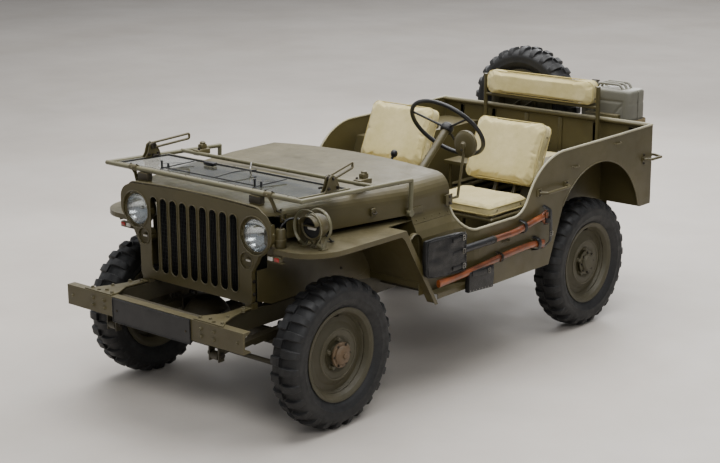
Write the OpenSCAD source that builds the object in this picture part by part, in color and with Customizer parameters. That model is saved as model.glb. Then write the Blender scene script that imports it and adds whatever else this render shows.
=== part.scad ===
// Open quarter-ton army 4x4 car, windshield folded flat on the hood.
// Front faces -Y, +X is the driver's (left) side, +Z is up, the wheels stand on z = 0.

/* [Overall] */
// Distance between the axles
wheelbase = 2032; // [1740:1:2440]
// Distance between the wheel centres of one axle
track = 1244; // [1200:1:1400]
// Bumper face to front axle
front_overhang = 540; // [500:1:650]
// Rear axle to rear panel
rear_overhang = 530; // [500:1:640]
// Width of the body over the side panels
body_w = 1476; // [1440:1:1700]
// Height of the body sides at the rear
body_top = 1052; // [1020:1:1160]

/* [Wheels] */
// Outer radius of a tyre
tyre_r = 353; // [330:1:370]
// Width of a tyre
tyre_w = 165; // [130:1:175]
// Radius of the bead seat
bead_r = 203; // [190:1:215]
// Radius of the rim lip
lip_r = 222; // [208:1:235]
// Width over the rim lips
rim_w = 124; // [100:1:128]
// Radius of a brake drum
drum_r = 128; // [100:1:150]

/* [Frame] */
// Centre of a frame rail from the middle
rail_x = 349; // [300:1:354]
// Width of a frame rail
rail_w = 44; // [30:1:50]
// Height of a frame rail
rail_h = 90; // [70:1:100]
// Width of a leaf spring
spring_w = 44; // [35:1:50]
// Thickness of a spring pack at the axle
spring_h = 40; // [30:1:48]
// Length of a front spring
front_spring_l = 920; // [780:1:980]
// Length of a rear spring
rear_spring_l = 956; // [860:1:966]
// Radius of an axle tube
axle_tube_r = 38; // [30:1:44]
// Radius of a differential housing
diff_r = 118; // [100:1:128]

/* [Bumper] */
// Length of the front bumper
bumper_w = 1192; // [1000:1:1400]
// Height of the front bumper
bumper_h = 98; // [95:1:120]
// Depth of the bumper channel
bumper_d = 45; // [35:1:55]
// Thickness of the bumper steel
bumper_t = 5; // [4:0.5:7]
// Diameter of the bores in the gussets
gusset_bore = 20; // [10:1:26]

/* [Sheet metal] */
// Thickness of the body sheet with its coatings
panel = 3; // [2:0.5:4]
// Height of the front floor above the ground
floor_z = 540; // [538:1:546]
// Height of the wheelhouse tops
wheelhouse_z = 935; // [930:1:960]
// Half width between the wheelhouses
wheelhouse_x = 470; // [450:1:500]
// Radius of the rear wheel arches
arch_r = 416; // [400:1:425]
// Half width of the cowl
cowl_x = 630; // [600:1:634]
// Height of the cowl top at the middle
cowl_top = 1075; // [1060:1:1084]
// Half width of the hood at the grille
hood_front_x = 460; // [430:1:480]
// Height of the hood at the grille
hood_front_top = 1062; // [1050:1:1070]
// Height of the fender tops
fender_z = 870; // [850:1:876]
// Half width over the fenders
fender_x = 745; // [735:1:780]

/* [Grille] */
// Number of slots
slot_count = 9; // [7:1:9]
// Spacing of the slots
slot_pitch = 67; // [56:1:68]
// Width of a slot
slot_w = 50; // [36:1:54]
// Radius of a headlight
headlight_r = 86; // [70:1:88]
// Radius of a marker lamp
marker_r = 37; // [30:1:38]

/* [Windshield] */
// Half width between the windshield side tubes
shield_x = 648; // [648:1:680]
// Radius of the windshield tube
shield_tube_r = 11; // [9:0.5:12]
// Length of the glass from top to bottom
glass_h = 330; // [280:1:345]
// Thickness of the glass
glass_t = 6; // [5:0.5:8]

/* [Cabin] */
// Outer radius of the steering wheel
wheel_ring_r = 217; // [190:1:225]
// Angle of the steering column above the floor
column_angle = 41; // [38:1:46]
// Width of a front seat cushion
seat_w = 440; // [360:1:450]
// Height of the top of the front cushions
seat_z = 800; // [780:1:830]
// Height of a front seat back cushion
back_h = 300; // [260:1:330]
// Width of the rear seat back cushion
rear_back_w = 780; // [640:1:786]

/* [Loads] */
// Width of the fuel can
can_w = 345; // [290:1:350]
// Depth of the fuel can
can_d = 165; // [140:1:170]
// Height of the fuel can body
can_h = 440; // [400:1:460]

/* [Hidden] */
$fn = 48;

gap = 0.3;                                   // air between faces on different bodies
half_track = track / 2;
half_body = body_w / 2;
rear_y = wheelbase;                          // y of the rear axle, from the front axle
back_y = rear_y + rear_overhang;             // outer face of the rear panel
spare_gap = 36;                              // rear panel to spare tyre
spare_y = back_y + spare_gap + tyre_w / 2;
tail_y = spare_y + tyre_w / 2;               // rearmost face
car_l = front_overhang + tail_y;
origin_y = front_overhang - car_l / 2;       // moves the middle of the length to y = 0

// ---------- general shapes ----------

// Puts a piece drawn from the front axle into the car's own frame
module car() translate([0, origin_y, 0]) children();

module both_sides() {
    children();
    mirror([1, 0, 0]) children();
}

// A (y, z) outline extruded from x0 to x1
module side_plate(x0, x1)
    translate([x0, 0, 0]) rotate([90, 0, 90]) linear_extrude(x1 - x0) children();

// An (x, z) outline extruded from y0 to y1
module cross_plate(y0, y1)
    translate([0, y1, 0]) rotate([90, 0, 0]) linear_extrude(y1 - y0) children();

// An (x, y) outline extruded from z0 to z1
module flat_plate(z0, z1) translate([0, 0, z0]) linear_extrude(z1 - z0) children();

// A box given by its two corners
module block(a, b) translate(a) cube(b - a);

// A round rod from point a to point b
module rod(a, b, r) {
    d = b - a;
    translate(a) rotate([0, acos(d.z / norm(d)), atan2(d.y, d.x)]) cylinder(h = norm(d), r = r);
}

// A round bar through a list of points, with ball elbows
module bent_bar(pts, r) {
    for (i = [0 : len(pts) - 2]) rod(pts[i], pts[i + 1], r);
    for (i = [1 : len(pts) - 2]) translate(pts[i]) sphere(r * 1.03);
}

// A bar of round section whose centre line runs along y through a list of points
module handle_bar(pts, r, sides = 14) {
    n = len(pts);
    polyhedron(
        [for (p = pts) for (k = [0 : sides - 1]) let (a = 360 * k / sides)
            [p.x + r * cos(a), p.y, p.z + r * sin(a)]],
        concat([[for (k = [0 : sides - 1]) sides - 1 - k]],
            [[for (k = [0 : sides - 1]) (n - 1) * sides + k]],
            [for (i = [0 : n - 2]) for (k = [0 : sides - 1]) let (j = (k + 1) % sides)
                [i * sides + k, i * sides + j, (i + 1) * sides + j, (i + 1) * sides + k]]));
}

// A cylinder along x, centred on p
module disc_x(p, r, l) translate(p) rotate([0, 90, 0]) cylinder(h = l, r = r, center = true);

// A cylinder along y, from p towards +y
module disc_y(p, r, l) translate(p) rotate([-90, 0, 0]) cylinder(h = l, r = r);

// A rectangle with round corners, centred
module round_rect(w, h, r) {
    square([w - 2 * r, h], center = true);
    square([w, h - 2 * r], center = true);
    for (x = [-1, 1], y = [-1, 1])
        translate([x * (w / 2 - r), y * (h / 2 - r)]) circle(r);
}

function arc(c, r, a0, a1, n = 12) =
    [for (i = [0 : n]) let (a = a0 + (a1 - a0) * i / n) [c.x + r * cos(a), c.y + r * sin(a)]];
function smooth(t) = let (u = max(0, min(1, t))) u * u * (3 - 2 * u);

// Half outline of a crowned cover: side wall, round shoulder and crowned top, mirrored
function cover_half(w, top, drop, r, bottom) =
    concat([[w, bottom]], arc([w - r, top - drop - r], r, 0, 90, 8),
        [for (i = [1 : 6]) let (t = 1 - i / 6) [(w - r) * t, top - drop * t * t]]);
function cover_outline(w, top, drop, r, bottom) =
    let (h = cover_half(w, top, drop, r, bottom))
    concat(h, [for (i = [len(h) - 2 : -1 : 0]) [-h[i].x, h[i].y]]);

// ---------- frame ----------

rail_in = rail_x - rail_w / 2;
rail_out = rail_x + rail_w / 2;
rail_front_z = 480;                           // underside of the front rails
floor_under = floor_z - panel;                // the rails carry the floor here
rear_floor_z = floor_z + 55;
rear_floor_under = rear_floor_z - panel;
kick_front = [330, 560];                      // where the rails drop to the floor
kick_rear = [rear_y - 376, rear_y - 230];     // where the rails rise over the rear axle
bumper_face = -front_overhang;
bumper_z = 523;                               // middle of the bumper height
horn_y = bumper_face + bumper_t;
horn_h = bumper_h - 2 * bumper_t - 2;
rail_end = back_y - panel - 20;
step_y = rear_y - 382;                        // where the floor steps up
rail_outline = [
    [horn_y, bumper_z - horn_h / 2], [kick_front[0], rail_front_z],
    [kick_front[1], floor_under - rail_h], [kick_rear[0], floor_under - rail_h],
    [kick_rear[1], rear_floor_under - rail_h], [rail_end, rear_floor_under - rail_h],
    [rail_end, rear_floor_under], [kick_rear[1], rear_floor_under],
    [kick_rear[0], floor_under], [kick_front[1], floor_under],
    [kick_front[0], rail_front_z + horn_h], [horn_y, bumper_z + horn_h / 2]];
skid_y = 1000;

module cross_member(y0, y1, z0, z1) block([-rail_in, y0, z0], [rail_in, y1, z1]);

module frame() color("#4b4a35") car() {
    both_sides() side_plate(rail_in, rail_out) polygon(rail_outline);
    disc_x([0, -430, bumper_z], 26, 2 * rail_in);
    cross_member(70, 130, rail_front_z + 2, rail_front_z + 36);
    cross_member(skid_y - 70, skid_y + 70, floor_under - rail_h + 2, floor_under - rail_h + 40);
    cross_member(rear_y - 470, rear_y - 410, floor_under - rail_h + 10, floor_under - 6);
    cross_member(rail_end - 60, rail_end, rear_floor_under - rail_h, rear_floor_under - 4);
    // outriggers under the floor
    both_sides() {
        block([rail_out, 640, floor_under - 40], [low_side_x - 32, 685, floor_under]);
        block([rail_out, step_y - 110, floor_under - 40], [half_body - panel - 2, step_y - 65, floor_under]);
    }
}

gusset_y = -262;
gusset_t = 6;
gusset_bore_x = 390;
module front_bumper() color("#4b4a35") car() difference() {
    h = bumper_h / 2;
    union() {
        side_plate(-bumper_w / 2, bumper_w / 2) polygon([
            [bumper_face, bumper_z - h], [bumper_face + bumper_d, bumper_z - h],
            [bumper_face + bumper_d, bumper_z - h + bumper_t], [horn_y, bumper_z - h + bumper_t],
            [horn_y, bumper_z + h - bumper_t], [bumper_face + bumper_d, bumper_z + h - bumper_t],
            [bumper_face + bumper_d, bumper_z + h], [bumper_face, bumper_z + h]]);
        // gusset plates lie on the top flange and run back beside the grille
        both_sides() flat_plate(bumper_z + h, bumper_z + h + gusset_t) polygon(concat(
            [[280, bumper_face + 4], [470, bumper_face + 4], [430, bumper_face + 60]],
            [for (t = [0 : 0.125 : 1]) [374 + 48 * pow(1 - t, 2), -460 + (gusset_y + 460) * t]],
            [[330, gusset_y], [330, -400], [285, bumper_face + bumper_d + 12]]));
    }
    both_sides() translate([gusset_bore_x, bumper_face + 24, bumper_z + h - 20]) cylinder(h = 40, d = gusset_bore);
}

plate_w = 530;
plate_h = 118;
module front_plate() color("#151617") car()
    block([-plate_w / 2, bumper_face - 5, bumper_z + bumper_h / 2 - 3 - plate_h],
        [plate_w / 2, bumper_face, bumper_z + bumper_h / 2 - 3]);

module rear_bumperettes() color("#4b4a35") car() {
    z0 = rear_floor_under - rail_h;
    both_sides() {
        // bracket on the rear cross member, then the upright channel
        block([rail_in - 30, rail_end, z0], [rail_out, back_y + 30, z0 + 12]);
        side_plate(rail_in - 40, rail_out + 60) polygon([
            [back_y + 30, z0 - 60], [back_y + 75, z0 - 60], [back_y + 75, z0 - 54],
            [back_y + 36, z0 - 54], [back_y + 36, z0 + 74], [back_y + 75, z0 + 74],
            [back_y + 75, z0 + 80], [back_y + 30, z0 + 80]]);
    }
}

hook_z = rear_floor_under - rail_h / 2;
module pintle_hook() color("#3c3b30") car() {
    block([-60, rail_end, hook_z - 45], [60, rail_end + 10, hook_z + 42]);
    disc_y([0, rail_end + 10, hook_z], 26, 70);
    difference() {
        side_plate(-18, 18) translate([rail_end + 118, hook_z]) circle(42);
        side_plate(-19, 19) translate([rail_end + 118, hook_z]) circle(20);
        side_plate(-19, 19) translate([rail_end + 118 + 6, hook_z]) square([60, 26]);
    }
    // latch closes the jaw
    block([-12, rail_end + 118, hook_z + 26.3], [12, rail_end + 166, hook_z + 40]);
}

// ---------- axles, springs and steering ----------

king_x = half_track - 62;                     // steering axis of a front wheel
ball_r = 72;
diff_x = -205;
module axle_housing(y, half, nose) {
    disc_x([0, y, tyre_r], axle_tube_r, 2 * half);
    difference() {
        translate([diff_x, y, tyre_r]) rotate([0, 90, 0]) sphere(diff_r);
        block([diff_x - 200, y - 200, tyre_r + diff_r - 14], [diff_x + 200, y + 200, tyre_r + 200]);
    }
    disc_x([diff_x, y, tyre_r], 56, 241);
    // pinion nose towards the gearbox
    disc_y([diff_x, min(y, y + nose), tyre_r], 48, abs(nose));
}

module front_axle() color("#3f3e2e") car() {
    axle_housing(0, king_x - 20, 190);
    both_sides() {
        // each ball ends short of the cup wall, so that the knuckle can swing
        translate([king_x, 0, tyre_r]) rotate([0, 90, 0]) rotate_extrude($fn = 72) polygon(concat(
            [[0, 5 - ball_r]], ball_line(ball_r, 5 - ball_r, 9, 12), [[0, 9]]));
        spring_pad(0);
    }
}

module rear_axle() color("#3f3e2e") car() {
    axle_housing(rear_y, half_track - 26, -190);
    both_sides() {
        // brake plate and the shaft that carries the wheel
        disc_x([half_track - 24, rear_y, tyre_r], drum_r - 8, 12);
        disc_x([half_track + 8, rear_y, tyre_r], spindle_r, 76);
        spring_pad(rear_y);
    }
}

pad_top = 397;
module spring_pad(y)
    block([rail_x - spring_w / 2, y - 55, tyre_r], [rail_x + spring_w / 2, y + 55, pad_top - 0.6]);

// One spring pack: main leaf with eyes, and shorter leaves under it
leaf_t = 8;
function leaf_line(l, y) = pad_top + spring_h - leaf_t - 28 * pow(2 * y / l, 2);
module spring_pack(l) {
    leaves = floor(spring_h / leaf_t);
    for (k = [0 : leaves - 1]) {
        half = l / 2 * (1 - 0.155 * k);
        side_plate(rail_x - spring_w / 2, rail_x + spring_w / 2) polygon(concat(
            [for (t = [-1 : 0.125 : 1]) [half * t, leaf_line(l, half * t) - k * leaf_t]],
            [for (t = [1 : -0.125 : -1]) [half * t, leaf_line(l, half * t) - (k - 1) * leaf_t]]));
    }
    for (s = [-1, 1]) disc_x([rail_x, s * (l / 2 + 8), leaf_line(l, l / 2)], 20, spring_w);
}
module shackle(y, l, z_rail) {
    z = leaf_line(l, l / 2);
    for (s = [-1, 1]) {
        x = rail_x + s * (spring_w / 2 + 4);
        block([min(x, x + s * 7), y - 17, z - 24], [max(x, x + s * 7), y + 17, z_rail]);
    }
    disc_x([rail_x, y, z], 9, spring_w + 28);
    block([rail_x - spring_w / 2 - 11, y - 17, z_rail - 8], [rail_x + spring_w / 2 + 11, y + 17, z_rail]);
}
function rail_under(y) = y < kick_front[0]
    ? bumper_z - horn_h / 2 + (rail_front_z - bumper_z + horn_h / 2)
        * (y - horn_y) / (kick_front[0] - horn_y)
    : y < kick_front[1]
    ? rail_front_z + (floor_under - rail_h - rail_front_z)
        * (y - kick_front[0]) / (kick_front[1] - kick_front[0])
    : y < kick_rear[0] ? floor_under - rail_h : rear_floor_under - rail_h;
module leaf_springs() color("#35352a") car() {
    both_sides() {
        spring_pack(front_spring_l);
        for (s = [-1, 1]) let (y = s * (front_spring_l / 2 + 8))
            shackle(y, front_spring_l, min(rail_under(y - 17), rail_under(y + 17)));
        translate([0, rear_y, 0]) spring_pack(rear_spring_l);
        for (s = [-1, 1]) let (y = rear_y + s * (rear_spring_l / 2 + 8))
            shackle(y, rear_spring_l, rail_under(y));
    }
}

// Knuckle: a cup around the axle ball with the brake plate, the spindle and the steering arm
arm_y = -150;
arm_x = king_x;
rod_r = 12;
cup_r = ball_r + 14;
cup_in = ball_r + 0.6;
cup_end = 56;                                 // outboard face of the cup, from the king pin
spindle_r = 24;
spindle_end = 118;
plate_x = [32, 44];                           // brake plate
function ball_line(r, a, b, n) = [for (i = [0 : n]) let (x = a + (b - a) * i / n) [sqrt(r * r - x * x), x]];
module knuckle() {
    translate([king_x, 0, tyre_r]) rotate([0, 90, 0]) rotate_extrude($fn = 72) polygon(concat(
        ball_line(cup_r, -6, plate_x[0], 5),
        [[drum_r - 8, plate_x[0]], [drum_r - 8, plate_x[1]]],
        ball_line(cup_r, plate_x[1], cup_end, 2),
        [[spindle_r, cup_end], [spindle_r, spindle_end], [0, spindle_end], [0, cup_end - 10]],
        ball_line(cup_in, cup_end - 10, -6, 7)));
    for (s = [-1, 1]) translate([king_x, 0, tyre_r + s * (cup_r + 2)])
        cylinder(h = 16, r = 26, center = true);
    // steering arm runs forward from the cup to the tie rod
    rod([king_x + 8, -cup_r + 3, tyre_r - 20], [arm_x, arm_y, tyre_r - 28], 12);
    translate([arm_x, arm_y, tyre_r - 42]) cylinder(h = 28, r = 16);
}
module knuckle_left() color("#3f3e2e") car() knuckle();
module knuckle_right() color("#3f3e2e") car() mirror([1, 0, 0]) knuckle();

module tie_rod() color("#3f3e2e") car() {
    z = tyre_r - 42 - gap - 20;
    disc_x([0, arm_y, z], rod_r, 2 * arm_x - 30);
    for (s = [-1, 1]) translate([s * arm_x, arm_y, z - 20]) cylinder(h = 40, r = 16);
}

// ---------- wheels ----------

// Tyre section in (radius, width from the middle), drawn as half an outline and mirrored
function tyre_half() = let (w = tyre_w / 2, b = rim_w / 2 - 6)
    concat([[bead_r + gap, 0], [bead_r + gap, b], [lip_r + 6, b]],
        arc([lip_r + 36, w - 22], 22, 150, 90, 4),
        [[lip_r + 75, w], [tyre_r - 34, w - 8]],
        arc([tyre_r - 26, w - 33], 22, 60, 20, 4),
        [[tyre_r, w - 44], [tyre_r, 0]]);
module tyre() {
    h = tyre_half();
    rotate([0, 90, 0]) rotate_extrude($fn = 96)
        polygon(concat(h, [for (i = [len(h) - 2 : -1 : 1]) [h[i].x, -h[i].y]]));
}

// Wheel: rim, stamped disc, drum and hub; +x is outboard
hub_r = 46;
module wheel(nose) {
    w = rim_w / 2;
    rotate([0, 90, 0]) rotate_extrude($fn = 96) polygon([
        [lip_r, w - 5], [lip_r, w], [bead_r + 8, w], [bead_r - 4, w - 8], [bead_r - 22, 24],
        [bead_r - 26, 16], [150, 22], [120, 38], [88, 36], [70, 28], [hub_r, 28],
        [hub_r, nose - 8], [hub_r - 8, nose], [0, nose], [0, nose - 12],
        [spindle_r + gap, nose - 12], [spindle_r + gap, 6], [60, 6], [drum_r, 6],
        [drum_r, -34], [drum_r + 6, -34], [drum_r + 6, 12], [150, 14], [bead_r - 32, 8],
        [bead_r - 24, -w + 20], [bead_r - 6, -w + 6], [bead_r + 6, -w], [lip_r, -w],
        [lip_r, -w + 5], [bead_r, -w + 5.5], [bead_r, -w + 18], [bead_r - 18, -w + 26],
        [bead_r - 18, w - 30], [bead_r, w - 18], [bead_r, w - 6]]);
}
front_nose = 76;
rear_nose = 66;

module at_wheel(side, y) car() translate([side * half_track, y, tyre_r])
    rotate([0, 0, side > 0 ? 0 : 180]) children();
module tyre_front_left() color("#26272a") at_wheel(1, 0) tyre();
module tyre_front_right() color("#26272a") at_wheel(-1, 0) tyre();
module tyre_rear_left() color("#26272a") at_wheel(1, rear_y) tyre();
module tyre_rear_right() color("#26272a") at_wheel(-1, rear_y) tyre();
module wheel_front_left() color("#4b4a35") at_wheel(1, 0) wheel(front_nose);
module wheel_front_right() color("#4b4a35") at_wheel(-1, 0) wheel(front_nose);
module wheel_rear_left() color("#4b4a35") at_wheel(1, rear_y) wheel(rear_nose);
module wheel_rear_right() color("#4b4a35") at_wheel(-1, rear_y) wheel(rear_nose);

spare_x = -205;
spare_z = 1043;
module at_spare() car() translate([spare_x, spare_y, spare_z]) rotate([0, 0, 90]) children();
module spare_tyre() color("#26272a") at_spare() tyre();
module spare_wheel() {
    w = rim_w / 2;
    color("#4b4a35") at_spare() {
        rotate([0, 90, 0]) rotate_extrude($fn = 96) polygon([
            [lip_r, w - 5], [lip_r, w], [bead_r + 8, w], [bead_r - 4, w - 8], [bead_r - 22, 24],
            [bead_r - 26, 16], [150, 22], [120, 38], [88, 36], [70, 28], [40, 28], [0, 28],
            [0, 16], [60, 16], [116, 30], [148, 14], [bead_r - 32, 8], [bead_r - 24, -w + 20],
            [bead_r - 6, -w + 6], [bead_r + 6, -w], [lip_r, -w], [lip_r, -w + 5],
            [bead_r, -w + 5.5], [bead_r, -w + 18], [bead_r - 18, -w + 26],
            [bead_r - 18, w - 30], [bead_r, w - 18], [bead_r, w - 6]]);
    }
    // carrier: two webs from the rear panel to the hub plate
    color("#4b4a35") car() {
        disc_y([spare_x, spare_y - 10, spare_z], 62, 26);
        for (x = [spare_x - 46, spare_x + 38]) side_plate(x, x + 8) polygon([
            [back_y, 862], [spare_y - 6, spare_z - 36], [spare_y - 6, spare_z + 30], [back_y, body_top - 8]]);
    }
}

// ---------- body ----------

flare_y = [800, 960];                         // where the cowl side widens to the body side
flare_z = [766, 900];                         // where the widening fades out upwards
low_side_x = 680;                             // half width of the lower front side
cut_z = 766;                                  // bottom of the door cut-out
cowl_y = [560, 855];
ledge_z = 508;
sill_z = 455;
house_y = [rear_y - 442, rear_y - 302];       // sloped front of the wheelhouses: foot and top
tail_z = 600;                                 // underside of the rear corners
side_split = cut_z + 85;                      // the cowl starts here, above the tub
function side_low_x(y) = low_side_x + (half_body - low_side_x)
    * smooth((y - flare_y[0]) / (flare_y[1] - flare_y[0]));
function side_x(y, z) = cowl_x + (side_low_x(y) - cowl_x)
    * (1 - smooth((z - flare_z[0]) / (flare_z[1] - flare_z[0])));

// Curved side sheet between two y and two z values, n by m cells
module side_sheet(y0, y1, z0, z1, n, m) {
    outer = [for (j = [0 : m]) for (i = [0 : n]) let (y = y0 + (y1 - y0) * i / n,
        z = z0 + (z1 - z0) * j / m) [side_x(y, z), y, z]];
    inner = [for (p = outer) p - [panel, 0, 0]];
    k = (n + 1) * (m + 1);
    row = n + 1;
    polyhedron(concat(outer, inner), concat(
        [for (j = [0 : m - 1]) for (i = [0 : n - 1]) each let (a = j * row + i)
            [[a, a + row + 1, a + 1], [a, a + row, a + row + 1]]],
        [for (j = [0 : m - 1]) for (i = [0 : n - 1]) each let (a = k + j * row + i)
            [[a, a + 1, a + row + 1], [a, a + row + 1, a + row]]],
        [for (i = [0 : n - 1]) each [[i, i + 1, k + i + 1], [i, k + i + 1, k + i]]],
        [for (i = [0 : n - 1]) each let (a = m * row + i)
            [[a, k + a + 1, a + 1], [a, k + a, k + a + 1]]],
        [for (j = [0 : m - 1]) each let (a = j * row)
            [[a, k + a, k + a + row], [a, k + a + row, a + row]]],
        [for (j = [0 : m - 1]) each let (a = j * row + n)
            [[a, k + a + row, k + a], [a, a + row, k + a + row]]]));
}

// Door cut-out curve from its front corner to the top of the rear side
cut_r = 85;
function side_top() = concat(
    arc([rear_y - 786, cut_z + 133], 133, 270, 333.5, 8),
    arc([rear_y - 342, body_top - 372], 361, 153.5, 90, 14),
    [[back_y, body_top]]);
function arch_line() = concat([[rear_y - 470, sill_z]],
    arc([rear_y - 4, 511], arch_r, 146, 14, 24), [[rear_y + 425, tail_z]]);
module side_outline() polygon(concat([[flare_y[1], sill_z]], arch_line(),
    [[back_y, tail_z]], [for (i = [len(side_top()) - 1 : -1 : 0]) side_top()[i]],
    [[flare_y[1], cut_z]]));

tunnel_x = 140;
tunnel = [[cowl_y[0] + panel, floor_z - panel], [cowl_y[0] + panel, 700], [720, 680],
    [1040, floor_z + 30], [1040, floor_z - panel]];
column_x = 345;
wheel_hub = [column_x, 1200, 1187];
function column_point(y) = [column_x, y, wheel_hub.z + (y - wheel_hub.y) * tan(column_angle)];
module column_hole() rod(column_point(440), column_point(760), 27);

module body_tub() color("#55533c") car() {
    rear_in = back_y - panel;
    x = half_body;
    // side panels
    both_sides() side_plate(x - panel, x) side_outline();
    both_sides() difference() {
        side_sheet(cowl_y[0], flare_y[1], ledge_z - panel, side_split, 12, 10);
        side_plate(500, 800) polygon(concat(
            arc([cowl_y[1] + cut_r, side_split], cut_r, 180, 270, 8),
            [[flare_y[1] + 10, cut_z], [flare_y[1] + 10, side_split + 10], [cowl_y[1], side_split + 10]]));
    }
    // step ledge under the front of the side
    both_sides() block([low_side_x - 30, 632, ledge_z - panel], [x - panel, flare_y[1], ledge_z]);
    both_sides() block([x - panel, 632, ledge_z - 25], [x, flare_y[1], ledge_z]);
    difference() {
        union() {
            // floors, with a step over the rear axle
            block([-low_side_x + 1, 640, floor_under], [low_side_x - 1, flare_y[1], floor_z]);
            block([-x + 1, flare_y[1] - 1, floor_under], [x - 1, house_y[0] + 3, floor_z]);
            block([-wheelhouse_x, house_y[0], floor_under], [wheelhouse_x, step_y + panel, floor_z]);
            block([-wheelhouse_x, step_y, floor_under], [wheelhouse_x, step_y + panel, rear_floor_z]);
            block([-wheelhouse_x, step_y, rear_floor_under], [wheelhouse_x, rear_in, rear_floor_z]);
            // toe board
            side_plate(-low_side_x + 1, low_side_x - 1) polygon([[cowl_y[0] + panel, 700],
                [cowl_y[0] + panel, 695], [640, floor_under], [646, floor_z]]);
        }
        side_plate(-tunnel_x, tunnel_x) polygon(tunnel);
        column_hole();
    }
    // tunnel cover over the gearbox
    difference() {
        side_plate(-tunnel_x, tunnel_x) polygon(tunnel);
        side_plate(-tunnel_x + panel, tunnel_x - panel) polygon([for (p = tunnel) p - [1, panel]]);
    }
    // wheelhouses: inner wall, top, sloped front and the wall behind the wheel
    both_sides() {
        side_plate(wheelhouse_x, wheelhouse_x + panel) polygon([[house_y[0], floor_under],
            [house_y[1], wheelhouse_z], [rear_in, wheelhouse_z], [rear_in, rear_floor_under],
            [step_y + panel, rear_floor_under], [step_y + panel, floor_under]]);
        block([wheelhouse_x, house_y[1], wheelhouse_z - panel], [x - 1, rear_in, wheelhouse_z]);
        side_plate(wheelhouse_x, x - 1) polygon([[house_y[0], floor_under + 1],
            [house_y[0] + 3.3, floor_under + 1], [house_y[1] + 3.3, wheelhouse_z - 1],
            [house_y[1], wheelhouse_z - 1]]);
        block([wheelhouse_x + panel, rear_y + 420, tail_z], [x - panel, rear_y + 420 + panel, wheelhouse_z - panel]);
        block([wheelhouse_x + panel, rear_y + 420, tail_z], [x - panel, rear_in, tail_z + panel]);
    }
    // rear panel
    cross_plate(rear_in, back_y) polygon([[-x + panel, tail_z], [x - panel, tail_z],
        [x - panel, body_top], [-x + panel, body_top]]);
    // rolled rail along the rear edge
    disc_x([0, rear_in - 8, body_top - 11], 11, 2 * (x - panel));
}

// Outline of the cowl and of the hood's rear edge
shoulder_r = 90;
shoulder_drop = 23;
function cowl_outline(inset, bottom) = cover_outline(cowl_x - inset, cowl_top - inset,
    shoulder_drop, shoulder_r - inset, bottom);

function firewall_side(s) = [for (i = [0 : 14]) let (z = floor_z + (flare_z[1] - floor_z) * i / 14.01)
    [s * (side_x(cowl_y[0], z) - panel - 1.2), z]];

module cowl() color("#55533c") car() {
    cross_plate(cowl_y[0], cowl_y[1]) difference() {
        polygon(cowl_outline(0, flare_z[1]));
        polygon(cowl_outline(panel, flare_z[1] - 1));
    }
    both_sides() side_sheet(cowl_y[0], cowl_y[1], side_split, flare_z[1], 6, 4);
    // brackets that carry the windshield pivots
    both_sides() {
        block([cowl_x + 1.5, shield_pivot.y - 14, shield_pivot.z - 15], [cowl_x + 6, cowl_y[0] + 80, shield_pivot.z + 15]);
        block([cowl_x - 1, cowl_y[0] + 6, shield_pivot.z - 11], [cowl_x + 2, cowl_y[0] + 76, shield_pivot.z + 11]);
        disc_x([cowl_x + 7, shield_pivot.y, shield_pivot.z], 11, 3.4);
    }
    // instrument panel
    cross_plate(cowl_y[1] - 40, cowl_y[1] - 40 + panel) intersection() {
        polygon(cowl_outline(panel, 0));
        translate([-600, 886]) square([1200, 300]);
    }
    // firewall
    difference() {
        cross_plate(cowl_y[0], cowl_y[0] + panel) polygon(concat(firewall_side(1),
            cowl_outline(panel, flare_z[1]), [for (i = [14 : -1 : 0]) firewall_side(-1)[i]]));
        block([-tunnel_x - 1, cowl_y[0] - 1, 0], [tunnel_x + 1, cowl_y[0] + panel + 1, 701]);
        column_hole();
    }
}

hood_y = [-258, cowl_y[0] - gap];
hood_r = 55;
hood_drop = 10;
hood_side_z = 898;
module hood_section(y, inset) {
    t = (y - hood_y[0]) / (hood_y[1] - hood_y[0]);
    w = hood_front_x + (cowl_x - hood_front_x) * t - inset;
    top = hood_front_top + (cowl_top - hood_front_top) * t - inset;
    drop = hood_drop + (shoulder_drop - hood_drop) * t;
    r = hood_r + (shoulder_r - hood_r) * t - inset;
    cross_plate(y - 0.05, y + 0.05) polygon(cover_outline(w, top, drop, r, hood_side_z - inset));
}
module hood() color("#66644b") car() {
    difference() {
        hull() {
            hood_section(hood_y[0] + 0.05, 0);
            hood_section(hood_y[1] - 0.05, 0);
        }
        hull() {
            hood_section(hood_y[0] - 1, panel);
            hood_section(hood_y[1] + 1, panel);
        }
        // the headlights stand clear of the sides
        both_sides() block([250, hood_y[0] - 10, 0], [800, -140, 1012]);
    }
    // wooden rests for the windshield
    both_sides() block([345, shield_front_y - 16, hood_front_top - 12],
        [405, shield_front_y + 16, shield_front_z - shield_tube_r - gap]);
}

// ---------- grille ----------

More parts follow.
